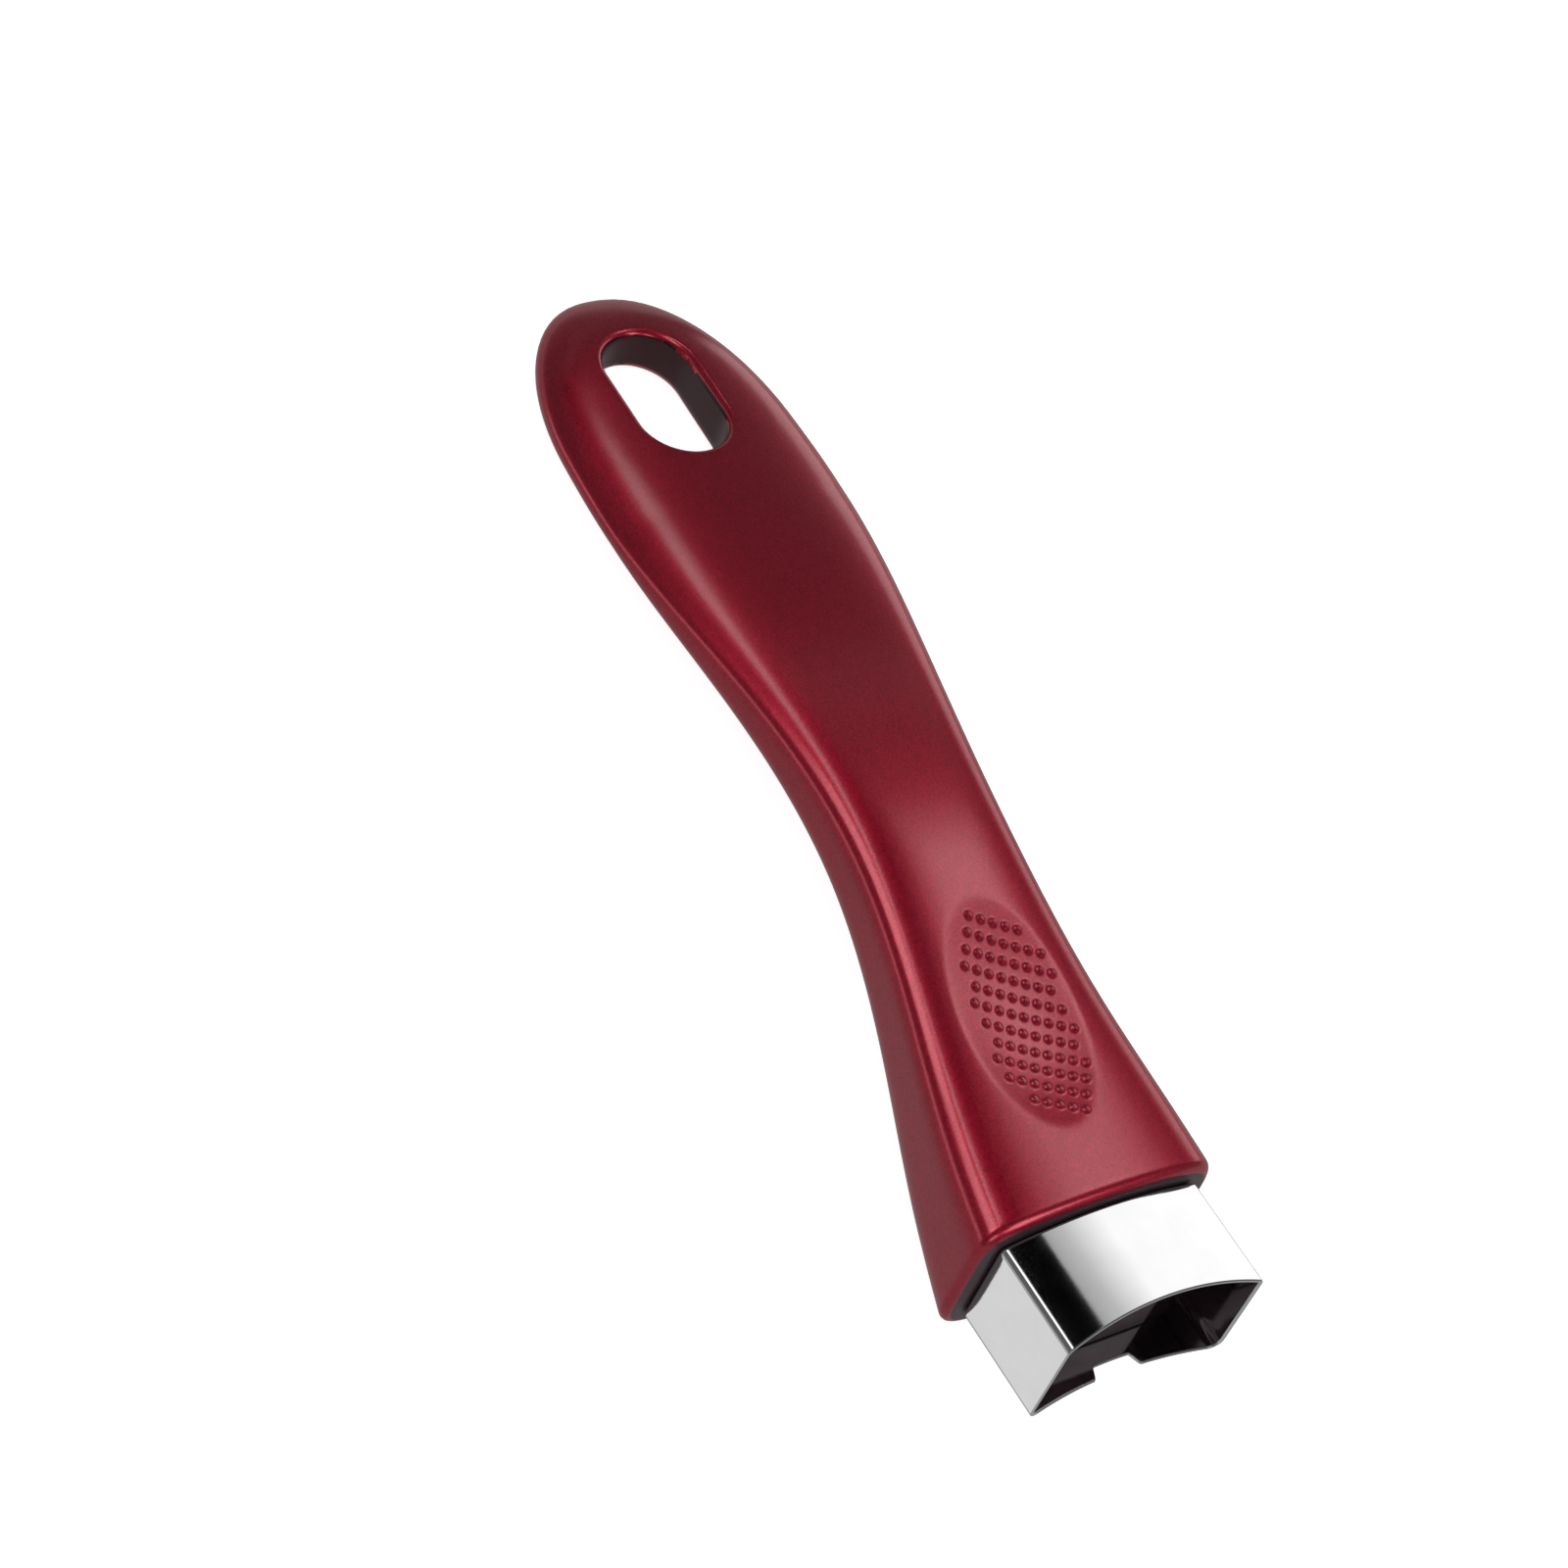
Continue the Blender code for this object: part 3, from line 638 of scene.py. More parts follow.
# %% [markdown]
# ## The flame guard
#
# A bent and polished steel sleeve.  Its pan end is cut hollow to the pan's round wall, and a
# small notch in its floor clears the bracket.  Solidify on an open sleeve would leave square
# lips, so the sheet is one closed grid: the outline goes round, and the other parameter goes
# along the outside, over the rounded front lip, back along the inside and over the rear lip.

# %% The sleeve
PAN_RADIUS = 0.0780
NOTCH_WIDTH = 0.0072
NOTCH_DEPTH = 0.0019
NOTCH_SLOPE = 0.0011
FLOOR_BAND = 1.01 * GUARD_SHEET
LENGTH_ROWS = 22
LIP_ROWS = 9
SLEEVE_SHARP_DEGREES = 50


def guard_front(y, z):
    """How far forward the sleeve reaches: the pan's round wall, and the notch in the floor.

    The sleeve reaches R - sqrt(R^2 - y^2) further at y than on the middle line."""
    half = GUARD_WIDTH / 2
    reach = PAN_RADIUS - math.sqrt(PAN_RADIUS ** 2 - half ** 2)
    front = GUARD_LENGTH - reach + PAN_RADIUS - np.sqrt(PAN_RADIUS ** 2 - y ** 2)
    on_floor = z < GUARD_FLOOR + FLOOR_BAND
    return front - np.where(on_floor, NOTCH_DEPTH * gentle(
        (NOTCH_WIDTH / 2 + NOTCH_SLOPE / 2 - np.abs(y)) / NOTCH_SLOPE), 0)


def sleeve():
    """The guard's sheet as one closed grid of its outline by its own section."""
    half_sheet = GUARD_SHEET / 2
    turn = np.linspace(0, math.pi, LIP_ROWS)
    along = eased(0, 1, LENGTH_ROWS)[1:-1]
    lip_in = half_sheet * (1 - np.cos(turn))
    lip_out = half_sheet * np.sin(turn)
    inset = np.concatenate([lip_in[::-1], np.zeros(len(along)), lip_in,
                            np.full(len(along), GUARD_SHEET)])
    # Share of the way from the rear lip's base to the front lip's base, and the lips' bulge.
    share = np.concatenate([np.zeros(LIP_ROWS), along, np.ones(LIP_ROWS), along[::-1]])
    bulge = np.concatenate([-lip_out[::-1], np.zeros(len(along)), lip_out,
                            np.zeros(len(along))])
    ring = OUTLINE[None] - OUTLINE_NORMAL[None] * inset[:, None, None]
    front = guard_front(ring[..., 0], OUTLINE[None, :, 1]) - half_sheet
    rear = SEAT_GAP + half_sheet
    x = rear + (front - rear) * share[:, None] + bulge[:, None]
    points = np.concatenate([x[..., None], ring], axis=-1)
    index = np.arange(x.size).reshape(x.shape)
    closed = np.concatenate([index, index[:1]])
    return make_piece("flame_guard_sleeve", place(points.reshape(-1, 3)),
                      grid_faces(closed, wrap=True).tolist(), merge=1e-8)


guard = sleeve()
guard.data.set_sharp_from_angle(angle=math.radians(SLEEVE_SHARP_DEGREES))
print("guard:", len(guard.data.polygons), "faces")


# %% [markdown]
# ## Screw and washers
#
# The screw is turned and then threaded.  Its surface is a grid round its axis: going down the
# rows, the radius follows the tip's chamfer, the thread, the head and its rounded edge.  The
# thread is the radius made to rise and fall once in each pitch, and once round the axis, which
# makes a true helix with no sweeping.  The cross recess is cut with two tapered bars.

# %% The screw
SCREW_RADIUS = 0.0020
SCREW_LENGTH = 0.0110
SCREW_PITCH = 0.0007
THREAD_DEPTH = 0.00038
HEAD_RADIUS = 0.0039
HEAD_HEIGHT = 0.0024
HEAD_EDGE_RADIUS = 0.0009
HEAD_TOP_Z = -0.0046
CROSS_SPAN = 0.0042
CROSS_WIDTH = 0.0009
CROSS_DEPTH = 0.0014
CROSS_LEVELS = ((-0.0006, 1.12), (0.0, 1.0), (CROSS_DEPTH, 0.45))
SCREW_COLUMNS = 64
SHANK_ROWS = 150
HEAD_EDGE_ROWS = 8
THREAD_SHARPNESS = 1.5
THREAD_START = 0.0006
THREAD_FADE_IN = 0.0009
THREAD_FADE_OUT = 0.0005
TIP_CHAMFER = 0.0005
HAIR = 0.0001
METAL_SHARP_DEGREES = 40


def threaded_shank(z, turn):
    """The shank's radius at a height and an angle: a rounded triangle wave along a helix,
    fading out at the tip's chamfer and under the head."""
    phase = (z / SCREW_PITCH - turn / (2 * math.pi)) % 1
    valley = (0.5 + 0.5 * np.cos(2 * math.pi * phase)) ** THREAD_SHARPNESS
    fade = gentle((z - THREAD_START) / THREAD_FADE_IN)
    fade = fade * gentle((SCREW_LENGTH + HAIR - z) / THREAD_FADE_OUT)
    chamfer = np.maximum(z - (SCREW_LENGTH - TIP_CHAMFER), 0)
    return SCREW_RADIUS - THREAD_DEPTH * valley * fade - chamfer


def fixing_screw():
    """The screw, head down: the tip's middle, the shank, the head, and the head's middle."""
    turn = np.linspace(0, 2 * math.pi, SCREW_COLUMNS + 1)[:-1][None, :]
    z = np.linspace(SCREW_LENGTH, 0, SHANK_ROWS)[:, None]
    shank = threaded_shank(z, turn)
    heights = np.broadcast_to(z, shank.shape)
    round_over = np.linspace(0, math.pi / 2, HEAD_EDGE_ROWS)
    edge = HEAD_RADIUS - HEAD_EDGE_RADIUS * (1 - np.cos(round_over))
    drop = -HEAD_HEIGHT + HEAD_EDGE_RADIUS * (1 - np.sin(round_over))
    radii = np.concatenate([[HEAD_RADIUS - HAIR, HEAD_RADIUS], edge, [edge[-1] / 2, 0]])
    levels = np.concatenate([[0, -HAIR], drop, [-HEAD_HEIGHT, -HEAD_HEIGHT]])
    ones = np.ones_like(turn)
    radius = np.concatenate([0 * ones, shank, radii[:, None] * ones])
    height = np.concatenate([SCREW_LENGTH * ones, heights, levels[:, None] * ones])
    points = np.stack([SCREW_X + radius * np.cos(turn), radius * np.sin(turn),
                       HEAD_TOP_Z + height], axis=-1)
    index = np.arange(radius.size).reshape(radius.shape)
    return make_piece("fixing_screw_threaded", place(points.reshape(-1, 3)),
                      grid_faces(index, wrap=True).tolist())


def cross_bar(turn):
    """One bar of the cross recess, narrower at its bottom than at its mouth."""
    mouth = HEAD_TOP_Z - HEAD_HEIGHT
    rings = []
    for depth, grow in CROSS_LEVELS:
        a, b = CROSS_SPAN / 2 * grow, CROSS_WIDTH / 2 * (0.6 + 0.4 * grow)
        x = np.array([-a, a, a, -a])
        y = np.array([-b, -b, b, b])
        c, s = math.cos(turn), math.sin(turn)
        level = [mouth + depth] * 4
        rings.append(np.column_stack([SCREW_X + c * x - s * y, s * x + c * y, level]))
    return loft("cross_bar", np.array(rings))


screw = fixing_screw()
cut(screw, cross_bar(0.0), "DIFFERENCE")
cut(screw, cross_bar(math.pi / 2), "DIFFERENCE")
bake(screw, METAL_SHARP_DEGREES)
print("screw:", len(screw.data.polygons), "faces")

# %% [markdown]
# Both washers are a small rounded rectangle carried round the screw's axis.  The flat one goes
# all the way round.  The spring one stops short on each side of its split, with one end up and
# the other down a little, and each end is closed by a face.

# %% The washers
WASHER_BORE = 0.0023
FLAT_RADIUS = 0.0045
FLAT_THICKNESS = 0.0008
FLAT_TOP_Z = -0.0023
SPRING_RADIUS = 0.0037
SPRING_THICKNESS = 0.0009
SPRING_TOP_Z = -0.0034
SPRING_SPLIT = 0.0008
SPRING_LIFT = 0.00010
WASHER_EDGE = 0.00012
RING_STEPS = 96
SPLIT_STEPS = 80


def ring_section(inner, outer, thickness):
    """A rectangle with rounded corners, as (radius, height) rows, its top at height 0."""
    turn = np.linspace(0, math.pi / 2, 5)
    e = WASHER_EDGE
    corners = ((outer - e, -e, 0), (inner + e, -e, 1), (inner + e, e - thickness, 2),
               (outer - e, e - thickness, 3))
    runs = [np.column_stack([r + e * np.cos(turn + k * math.pi / 2),
                             z + e * np.sin(turn + k * math.pi / 2)]) for r, z, k in corners]
    return np.concatenate(runs)


def washer(name, section, turns, rise, top, closed):
    """The section carried through the turns given, lifted by the rise at each."""
    r, z = section[None, :, 0], section[None, :, 1] + rise[:, None] + top
    points = np.stack([SCREW_X + r * np.cos(turns)[:, None], r * np.sin(turns)[:, None],
                       np.broadcast_to(z, (len(turns), section.shape[0]))], axis=-1)
    index = np.arange(points[..., 0].size).reshape(points.shape[:2])
    looped = np.concatenate([index, index[:1]]) if closed else index
    faces = grid_faces(looped, wrap=True).tolist()
    if not closed:
        faces += [index[0].tolist(), index[-1].tolist()]
    piece = make_piece(name, place(points.reshape(-1, 3)), faces)
    piece.data.set_sharp_from_angle(angle=math.radians(METAL_SHARP_DEGREES))
    return piece


around = np.linspace(0, 2 * math.pi, RING_STEPS + 1)[:-1]
flat_washer = washer(
    "flat_washer_turned", ring_section(WASHER_BORE, FLAT_RADIUS, FLAT_THICKNESS),
    around, np.zeros(RING_STEPS), FLAT_TOP_Z, True)
gap = SPRING_SPLIT / 2 / ((WASHER_BORE + SPRING_RADIUS) / 2)
open_turn = math.pi / 2 + np.linspace(gap, 2 * math.pi - gap, SPLIT_STEPS)
spring_washer = washer(
    "spring_washer_split", ring_section(WASHER_BORE, SPRING_RADIUS, SPRING_THICKNESS),
    open_turn, np.linspace(-SPRING_LIFT, SPRING_LIFT, SPLIT_STEPS), SPRING_TOP_Z, False)
print("washers:", len(flat_washer.data.polygons), len(spring_washer.data.polygons), "faces")


# %% [markdown]
# ## Materials
#
# Shader maths reads best as plain expressions, so a small class wraps a socket and turns
# + - * / into Math nodes.  Every other node comes from one method, which sets the node's
# settings first and its sockets after.

# %% Sockets as numbers
class Wire:
    """An output socket in a material's node tree, with arithmetic on it."""

    def __init__(self, tree, socket):
        self.tree, self.socket = tree, socket

    def math(self, operation, other, swapped=False, clamp=False):
        """A Math node on this socket and another socket or number."""
        pair = (other, self) if swapped else (self, other)
        return self.tree.node("ShaderNodeMath", {"operation": operation, "use_clamp": clamp},
                              {0: pair[0], 1: pair[1]})

    def __add__(self, other):
        return self.math("ADD", other)

    def __sub__(self, other):
        return self.math("SUBTRACT", other)

    def __mul__(self, other):
        return self.math("MULTIPLY", other)

    def __rsub__(self, other):
        return self.math("SUBTRACT", other, swapped=True)

    __radd__, __rmul__ = __add__, __mul__

    def clamped(self):
        """The value held between 0 and 1."""
        return self.math("ADD", 0.0, clamp=True)


class Finish:
    """A material under construction: its node tree and its Principled shader."""

    def __init__(self, name, owner=None, shader="Principled BSDF"):
        self.material = owner or bpy.data.materials.new(name)
        self.material.use_nodes = True
        self.nodes = self.material.node_tree.nodes
        self.links = self.material.node_tree.links
        self.shader = self.nodes[shader]

    def node(self, kind, settings=None, inputs=None, output=0):
        """A node of a kind, with its settings, then its sockets' values or links."""
        made = self.nodes.new(kind)
        for key, value in (settings or {}).items():
            if key == "stops":
                self.fill_ramp(made.color_ramp, value)
            else:
                setattr(made, key, value)
        for key, value in (inputs or {}).items():
            self.feed(made.inputs[key], value)
        return Wire(self, made.outputs[output])

    def feed(self, socket, value):
        """Links a socket from a Wire, or sets its value."""
        if isinstance(value, Wire):
            self.links.new(value.socket, socket)
        else:
            socket.default_value = value

    @staticmethod
    def fill_ramp(ramp, stops):
        """Gives a colour ramp its (position, colour) stops."""
        for element, (spot, colour) in zip(ramp.elements, stops[:2]):
            element.position, element.color = spot, colour
        for spot, colour in stops[2:]:
            ramp.elements.new(spot).color = colour

    def surface(self, **values):
        """Sets the shader's sockets, named with underscores for spaces."""
        for key, value in values.items():
            self.feed(self.shader.inputs[key.replace("_", " ")], value)

    def spot(self):
        """The place on the object, in metres."""
        return self.node("ShaderNodeTexCoord", output="Object")

    def turned_spot(self, turn, scale=(1, 1, 1)):
        """The place on the object, turned about the handle's cross axis and stretched."""
        return self.node("ShaderNodeMapping", None, {
            "Vector": self.spot(), "Rotation": (0, turn, 0), "Scale": scale})

    def noise(self, scale, detail=2.0, roughness=0.5, vector=None):
        """Noise between 0 and 1, with about 'scale' lumps to the metre."""
        return self.node("ShaderNodeTexNoise", None, {
            "Vector": vector or self.spot(), "Scale": scale, "Detail": detail,
            "Roughness": roughness}, output="Fac")

    def mix(self, factor, first, second):
        """A blend of two colours."""
        return self.node("ShaderNodeMix", {"data_type": "RGBA"},
                         {0: factor, 6: first, 7: second}, output=2)

    def bump(self, height, distance, strength):
        """A normal that follows a height, in metres times distance."""
        return self.node("ShaderNodeBump", None, {
            "Height": height, "Distance": distance, "Strength": strength}, output="Normal")


def rgb(red, green, blue):
    """A colour socket's value from linear red, green and blue."""
    return (red, green, blue, 1.0)


print("material helpers ready")

# %% [markdown]
# ## Burgundy lacquer
#
# The grip is sprayed with a wine-red metallic lacquer: fine aluminium flakes in a tinted coat,
# under a clear one.  The flakes make a wide, tinted highlight with a grain in it, and the
# clear coat a sharp, white one.  A plain glossy red would have the sharp one only.
#
# The flakes are a fine Voronoi pattern.  Each cell tilts the shading normal by a small amount
# of its own and has a shade of its own.  A slow noise gives the slight orange-peel of spray.

# %% Burgundy lacquer
lacquer = Finish("burgundy_lacquer")
flake = lacquer.node("ShaderNodeTexVoronoi", {"feature": "F1"}, {
    "Vector": lacquer.spot(), "Scale": 5200.0}, output="Color")
flake_shade = lacquer.node("ShaderNodeSeparateColor", None, {0: flake})
grain = lacquer.noise(2600.0, 2.0, 0.6)
cloud = lacquer.noise(70.0, 3.0, 0.5)
glint = (flake_shade * 0.55 + grain * 0.45 + cloud * 0.25 - 0.125).clamped()
deep = rgb(0.24, 0.0035, 0.0130)
bright = rgb(0.60, 0.0130, 0.0520)
peel = lacquer.noise(420.0, 1.0, 0.4)
lacquer.surface(
    Base_Color=lacquer.mix(glint, deep, bright),
    Metallic=0.92,
    Specular_IOR_Level=0.25,
    Roughness=0.32 + 0.10 * grain,
    Coat_Weight=0.9,
    Coat_Roughness=0.17,
    Coat_IOR=1.5,
    Normal=lacquer.bump(flake_shade * 0.5 + peel * 1.4, 0.00003, 0.35))
print("lacquer nodes:", len(lacquer.nodes))

# %% [markdown]
# ## Bare moulding, and lacquer with painted shade in the hole
#
# The front face is masked for the guard, so the moulding shows there as it left the mould:
# nearly black, with a dull plum shine.  The hanging hole's wall has painted shade: its lacquer
# is a much darker wine red than the grip's, standing in for the shade inside the hole.

# %% Bare moulding, and lacquer with painted shade in the hole
bare = Finish("bare_moulding")
flow = bare.noise(240.0, 3.0, 0.5)
bare.surface(
    Base_Color=bare.mix(flow, rgb(0.030, 0.016, 0.021), rgb(0.060, 0.034, 0.042)),
    Roughness=0.26 + 0.16 * flow,
    Normal=bare.bump(flow, 0.00003, 0.2))

# Painted shade: the hole wall's base colour is far darker than the grip's lacquer, standing in for
# the shade inside the hanging hole.
hole_shade_lacquer = Finish("hole_lacquer_painted_shade")
hole_wall_noise = hole_shade_lacquer.noise(160.0, 3.0, 0.5)
hole_shade_lacquer.surface(
    Base_Color=hole_shade_lacquer.mix(hole_wall_noise, rgb(0.030, 0.004, 0.007), rgb(0.060, 0.007, 0.013)),
    Metallic=0.5,
    Roughness=0.34 + 0.12 * hole_wall_noise,
    Coat_Weight=0.3,
    Coat_Roughness=0.25,
    Normal=hole_shade_lacquer.bump(hole_wall_noise, 0.00003, 0.2))
# The thinned lacquer named here is the hole wall's lacquer with painted shade.
print("bare moulding and thinned lacquer ready")

# %% [markdown]
# The grip's faces are told apart by where their middles lie about the guard's axis.  A face
# counts as inside a hollow when it is no further out than the hollow's wall and a hair more.

# %% Which face has which finish
HOLE_SLACK = 0.00006
WALL_SLACK = 0.00005
FACE_SLACK = 0.00004
UPRIGHT = 0.5
POCKET_MOUTH = 0.0003


def share_out(piece):
    """Gives the grip's faces their finishes: 0 the lacquer, 1 the bare moulding at the front
    face, ahead of it and in its hollows, and 2 the painted-shade lacquer on the hole's wall."""
    count = len(piece.data.polygons)
    middle, normal = np.empty(count * 3), np.empty(count * 3)
    piece.data.polygons.foreach_get("center", middle)
    piece.data.polygons.foreach_get("normal", normal)
    x, y, z = ((middle.reshape(-1, 3) - ORIGIN) @ AXES.T).T
    lean = abs((normal.reshape(-1, 3) @ AXES.T)[:, 2])
    in_hole = (hole_distance(x, y) < HOLE_SLACK) & (lean < UPRIGHT)
    below_roof = z < SOCKET_TOP + 2 * WALL_SLACK
    in_pocket = (np.hypot(x - SCREW_X, y) < POCKET_RADIUS + WALL_SLACK) & below_roof & (
        z > underside + POCKET_MOUTH)
    in_socket = (abs(y) < SOCKET_WIDTH / 2 + WALL_SLACK) & below_roof & (
        z > SOCKET_LOW - 2 * WALL_SLACK) & (x > -SOCKET_BEHIND_FACE - 4 * WALL_SLACK)
    is_bare = (x > -FACE_SLACK) | in_pocket | in_socket
    slots = is_bare.astype(np.int32) + 2 * in_hole.astype(np.int32)
    piece.data.polygons.foreach_set("material_index", slots)
    return int(is_bare.sum()), int(in_hole.sum())


grip.data.materials.clear()
for finish in (lacquer, bare, hole_shade_lacquer):
    grip.data.materials.append(finish.material)
# The thinned lacquer counted here is the hole wall's lacquer with painted shade.
print("faces of bare moulding and of thinned lacquer:", share_out(grip))

# %% [markdown]
# ## Polished steel
#
# The sleeve is bright stainless steel, nearly a mirror.  What gives it away as metal is small:
# faint polishing lines round it, a slow waviness from the bending, and smudges that change the
# gloss a little.

# %% Polished steel
steel = Finish("polished_steel")
lines = steel.noise(260.0, 3.0, 0.6, steel.turned_spot(TILT, (14.0, 1.0, 1.0)))
waves = steel.noise(45.0, 1.0, 0.4)
smudge = steel.noise(160.0, 4.0, 0.6)
steel.surface(
    Base_Color=steel.mix(smudge, rgb(0.74, 0.74, 0.75), rgb(0.84, 0.84, 0.845)),
    Metallic=1.0,
    Roughness=0.045 + 0.05 * smudge,
    Normal=steel.bump(lines * 0.35 + waves, 0.00003, 0.25))
print("steel nodes:", len(steel.nodes))

# %% [markdown]
# ## Zinc plate and spring steel
#
# The screw and the flat washer are zinc plated: a bluish grey with a soft, uneven shine.  The
# spring washer is darker, oil-blackened steel with a fine grain.

# %% Zinc plate and spring steel
zinc = Finish("zinc_plate")
mottle = zinc.noise(900.0, 4.0, 0.6)
zinc.surface(
    Base_Color=zinc.mix(mottle, rgb(0.46, 0.48, 0.53), rgb(0.70, 0.71, 0.73)),
    Metallic=1.0,
    Roughness=0.24 + 0.18 * mottle,
    Normal=zinc.bump(mottle, 0.00003, 0.3))

spring = Finish("spring_steel")
grit = spring.noise(2400.0, 3.0, 0.6)
spring.surface(
    Base_Color=spring.mix(grit, rgb(0.10, 0.10, 0.11), rgb(0.24, 0.24, 0.25)),
    Metallic=1.0,
    Roughness=0.34 + 0.2 * grit,
    Normal=spring.bump(grit, 0.00002, 0.4))
print("zinc and spring steel ready")

# %% [markdown]
# ## Pieces on their bodies
#
# Each metal piece takes its finish.  Then every fine piece rides on the body that carries its
# plain solid, and stands for that solid.

# %% Hanging the pieces on the frame
for piece, finish in ((guard, steel), (screw, zinc), (flat_washer, zinc), (spring_washer, spring)):
    piece.data.materials.clear()
    piece.data.materials.append(finish.material)

for piece, body, node, slot in (
        (grip, "handle", "grip", "burgundy_lacquer"),
        (guard, "guard", "flame_guard", "polished_steel"),
        (screw, "screw", "fixing_screw", "zinc_plate"),
        (flat_washer, "washers", "flat_washer", "zinc_plate"),
        (spring_washer, "washers", "spring_washer", "spring_steel")):
    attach(piece, body)
    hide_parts(node)
print("pieces ride on their bodies")

# %% [markdown]
# ## Table and light
#
# A white sweep lit from all round, as in a product studio.  The lacquer and the steel show
# mostly what they reflect, so the light is a dozen soft cards, placed by direction from the
# piece that they light.  The table glows by itself, which keeps it white and its shadows
# faint.  It is left out of reflections, because a lacquer this glossy would pick up a pink
# haze from so much white: the sky below the horizon stands in for it, dimmer.

# %% The table
bpy.ops.mesh.primitive_plane_add(size=16)
table = bpy.context.active_object
table.name = "table"
table.visible_glossy = False
paper = Finish("white_paper")
fibre = paper.noise(900.0, 3.0, 0.6)
paper.surface(
    Base_Color=paper.mix(fibre, rgb(0.86, 0.86, 0.86), rgb(0.9, 0.9, 0.9)),
    Roughness=0.8,
    Emission_Color=rgb(1, 1, 1),
    Emission_Strength=0.86)
table.data.materials.append(paper.material)

# %% [markdown]
# The sky is dark above, so that the cards stand out in the gloss, and lighter at the horizon
# and below it, where a real studio has its walls and its table.

# %% The sky
SKY = ((0.0, 0.34), (0.44, 0.38), (0.50, 0.55), (0.57, 0.15), (1.0, 0.10))

world = bpy.data.worlds.new("studio")
world.use_nodes = True
bpy.context.scene.world = world
sky = Finish("studio_sky", world, "Background")
height = sky.node("ShaderNodeSeparateXYZ", None, {
    0: sky.node("ShaderNodeTexCoord", output="Generated")}, output="Z")
level = sky.node("ShaderNodeValToRGB", {"stops": [
    (spot, rgb(grey, grey, grey)) for spot, grey in SKY]}, {0: height * 0.5 + 0.5})
sky.surface(Color=level, Strength=1.0)
print("table and sky ready")

# %% [markdown]
# The steel and the rest want different studios: a mirror needs calm grey fields, and lacquer a
# few bright edges.  So each card lights one group of pieces only, which Blender calls light
# linking.  The first strip runs overhead along the handle, a little askew, and draws the long
# streak on its left shoulder.  The right boxes, one in another, fade out like one soft lamp.

# %% The soft cards
def receivers(name, pieces):
    """A collection of the pieces that a card lights."""
    group = bpy.data.collections.new(name)
    for one in pieces:
        group.objects.link(one)
    return group


FOR_STEEL = receivers("lit_steel", [guard])
FOR_REST = receivers("lit_rest", [grip, screw, flat_washer, spring_washer, table])
GRIP_MIDDLE = place([[-0.06, 0, 0.01]])[0]
GUARD_MIDDLE = place([[0.01, 0, 0.009]])[0]


def card(name, group, middle, way, distance, width, height, brightness, roll):
    """A soft rectangular light, in a direction about the guard's axis from a middle.

    Its power is brightness times pi times its area, so brightness is what it looks like."""
    light = bpy.data.lights.new(name, "AREA")
    light.shape = "RECTANGLE"
    light.size, light.size_y = width, height
    light.energy = brightness * math.pi * width * height
    holder = bpy.data.objects.new(name, light)
    bpy.context.scene.collection.objects.link(holder)
    direction = np.array(way, float) @ AXES
    direction = direction / np.linalg.norm(direction)
    side = np.cross(ALONG, direction)
    side = side / np.linalg.norm(side)
    turned = np.stack([np.cross(side, direction), side, direction], axis=1)
    matrix = mathutils.Matrix(turned.tolist()) @ mathutils.Matrix.Rotation(roll, 3, "Z")
    matrix = matrix.to_4x4()
    matrix.translation = (middle + distance * direction).tolist()
    holder.matrix_world = matrix
    holder.light_linking.receiver_collection = group


# name, pieces lit, middle, direction, distance, length along the handle, width, brightness, roll
CARDS = [
    ("key_strip", FOR_REST, GRIP_MIDDLE, (-0.24, -0.02, 0.97), 1.0, 0.90, 0.09, 3.6, -0.62),
    ("front_strip", FOR_REST, GRIP_MIDDLE, (0.02, -0.50, 0.86), 1.0, 0.30, 0.40, 3.4, 0.0),
    ("left_low", FOR_REST, GRIP_MIDDLE, (-0.45, -0.88, 0.12), 1.0, 1.0, 0.24, 0.9, 0.0),
    ("right_box", FOR_REST, GRIP_MIDDLE, (0.08, 0.57, 0.82), 1.0, 0.20, 0.20, 1.8, 0.0),
    ("right_halo", FOR_REST, GRIP_MIDDLE, (0.10, 0.56, 0.82), 1.0, 0.38, 0.38, 0.9, 0.0),
    ("right_haze", FOR_REST, GRIP_MIDDLE, (0.0, 0.56, 0.80), 1.1, 0.90, 0.80, 0.20, 0.0),
    ("tail_haze", FOR_REST, GRIP_MIDDLE, (-0.55, 0.50, 0.67), 1.1, 0.70, 0.90, 0.10, 0.0),
    ("right_rim", FOR_REST, GRIP_MIDDLE, (-0.22, 0.93, 0.26), 1.0, 1.1, 0.28, 1.3, 0.0),
    ("front_box", FOR_REST, GRIP_MIDDLE, (0.85, 0.30, 0.42), 1.0, 0.40, 0.40, 3.2, 0.0),
    ("mouth_box", FOR_REST, GRIP_MIDDLE, (0.95, -0.30, 0.35), 1.0, 0.30, 0.30, 3.0, 0.0),
    ("steel_left", FOR_STEEL, GUARD_MIDDLE, (-0.47, -0.54, -0.70), 0.8, 0.8, 0.8, 0.45, 0.0),
    ("steel_front", FOR_STEEL, GUARD_MIDDLE, (0.85, 0.0, 0.5), 0.8, 0.4, 0.4, 0.5, 0.0)]
for settings in CARDS:
    card(*settings)
print("soft cards:", len(CARDS))

# %% [markdown]
# In a studio, boards are held up for polished steel to mirror.  The sleeve's crowned top
# mirrors a wide range of directions, so three boards side by side give it a fine white line,
# a black stripe and a fade to white.  The camera doesn't see the boards, and they cast no
# shadow and light nothing else.

# %% The boards that the sleeve mirrors
BOARD_DISTANCE = 1.5
BOARD_HALF_LENGTH = 0.8
TOP_MIRRORS_ALONG = -0.47

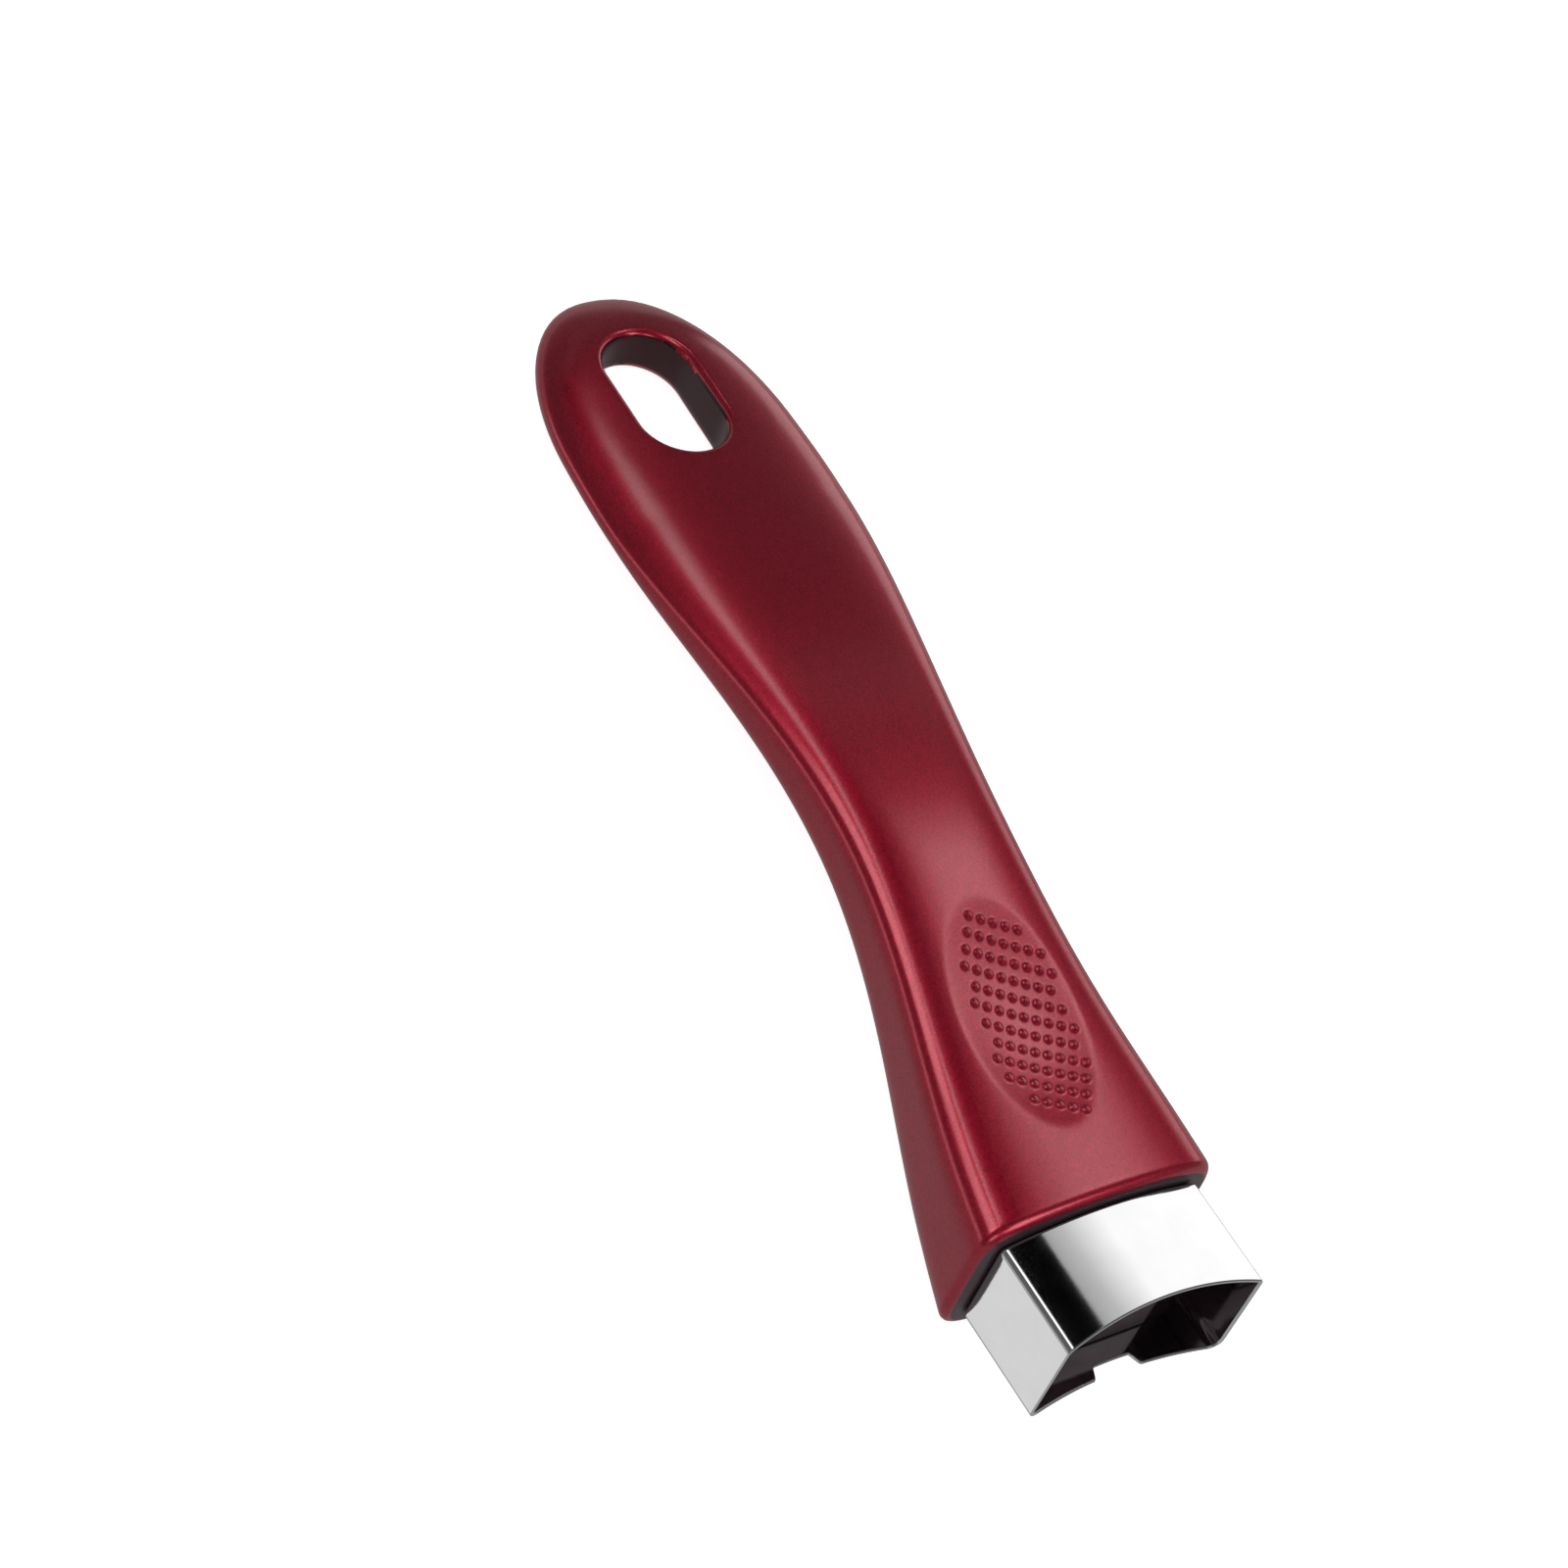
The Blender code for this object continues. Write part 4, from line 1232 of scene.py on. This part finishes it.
# name, first and last angle of the mirrored stripe, grey levels across it
BOARDS = [
    ("white_line_board", 0.6, 4.4, ((0.0, 1.6), (1.0, 1.6))),
    ("black_board", 4.4, 17.0, ((0.0, 0.0), (1.0, 0.0))),
    ("fade_board", 17.0, 88.0, ((0.0, 0.44), (0.10, 0.60), (0.28, 1.20), (1.0, 1.35)))]


def steel_way(degrees):
    """The direction that the sleeve's top mirrors where it leans by half that angle."""
    turn = math.radians(degrees)
    return np.array([TOP_MIRRORS_ALONG, math.sin(turn), math.cos(turn)]) @ AXES


def board(name, start, end, levels):
    """A glowing board that the sleeve's top mirrors between two such angles.

    Its grey goes by the share of the way across: the place on it times the way across, over
    that way's length squared."""
    first, last = (GUARD_MIDDLE + BOARD_DISTANCE * steel_way(angle) for angle in (start, end))
    corners = [edge + reach * BOARD_HALF_LENGTH * ALONG
               for edge, reach in ((first, -1), (first, 1), (last, 1), (last, -1))]
    sheet = make_piece(name, np.array(corners), [[0, 1, 2, 3]])
    across = last - first
    across = across / (across @ across)
    glow = Finish(name)
    spot = glow.node("ShaderNodeTexCoord", output="Object")
    where = glow.node("ShaderNodeVectorMath", {"operation": "DOT_PRODUCT"},
                      {0: spot, 1: tuple(across)}, output="Value") - float(first @ across)
    ramp = glow.node("ShaderNodeValToRGB", {"stops": [
        (share, rgb(grey, grey, grey)) for share, grey in levels]}, {0: where})
    glow.surface(
        Base_Color=rgb(0, 0, 0),
        Roughness=1.0,
        Specular_IOR_Level=0.0,
        Emission_Color=ramp,
        Emission_Strength=1.0)
    sheet.data.materials.append(glow.material)
    sheet.visible_camera = sheet.visible_diffuse = sheet.visible_shadow = False
    sheet.light_linking.receiver_collection = FOR_STEEL


for settings in BOARDS:
    board(*settings)
print("boards:", len(BOARDS))

# %% [markdown]
# ## Camera
#
# The camera looks down on the handle from its front left, close enough for some perspective.
# Its place and its two directions are given about the guard's axis.

# %% The camera
CAMERA_PLACE = (0.18337, -0.30508, 0.40184)
CAMERA_RIGHT = (0.4971, 0.8168, 0.2928)
CAMERA_UP = (-0.7297, 0.2109, 0.6505)
LENS_MM = 89.14
SENSOR_MM = 36.0

right = np.array(CAMERA_RIGHT) @ AXES
right = right / np.linalg.norm(right)
up = np.array(CAMERA_UP) @ AXES
up = up - right * (up @ right)
up = up / np.linalg.norm(up)
back = np.cross(right, up)
lens = bpy.data.cameras.new("camera")
lens.lens = LENS_MM
lens.sensor_width = SENSOR_MM
lens.clip_start = 0.01
camera = bpy.data.objects.new("camera", lens)
bpy.context.scene.collection.objects.link(camera)
turned = mathutils.Matrix(np.stack([right, up, back], axis=1).tolist()).to_4x4()
turned.translation = place([CAMERA_PLACE])[0].tolist()
camera.matrix_world = turned
bpy.context.scene.camera = camera
bpy.context.scene.view_settings.view_transform = "Standard"
print("camera at", [round(v, 4) for v in turned.translation])
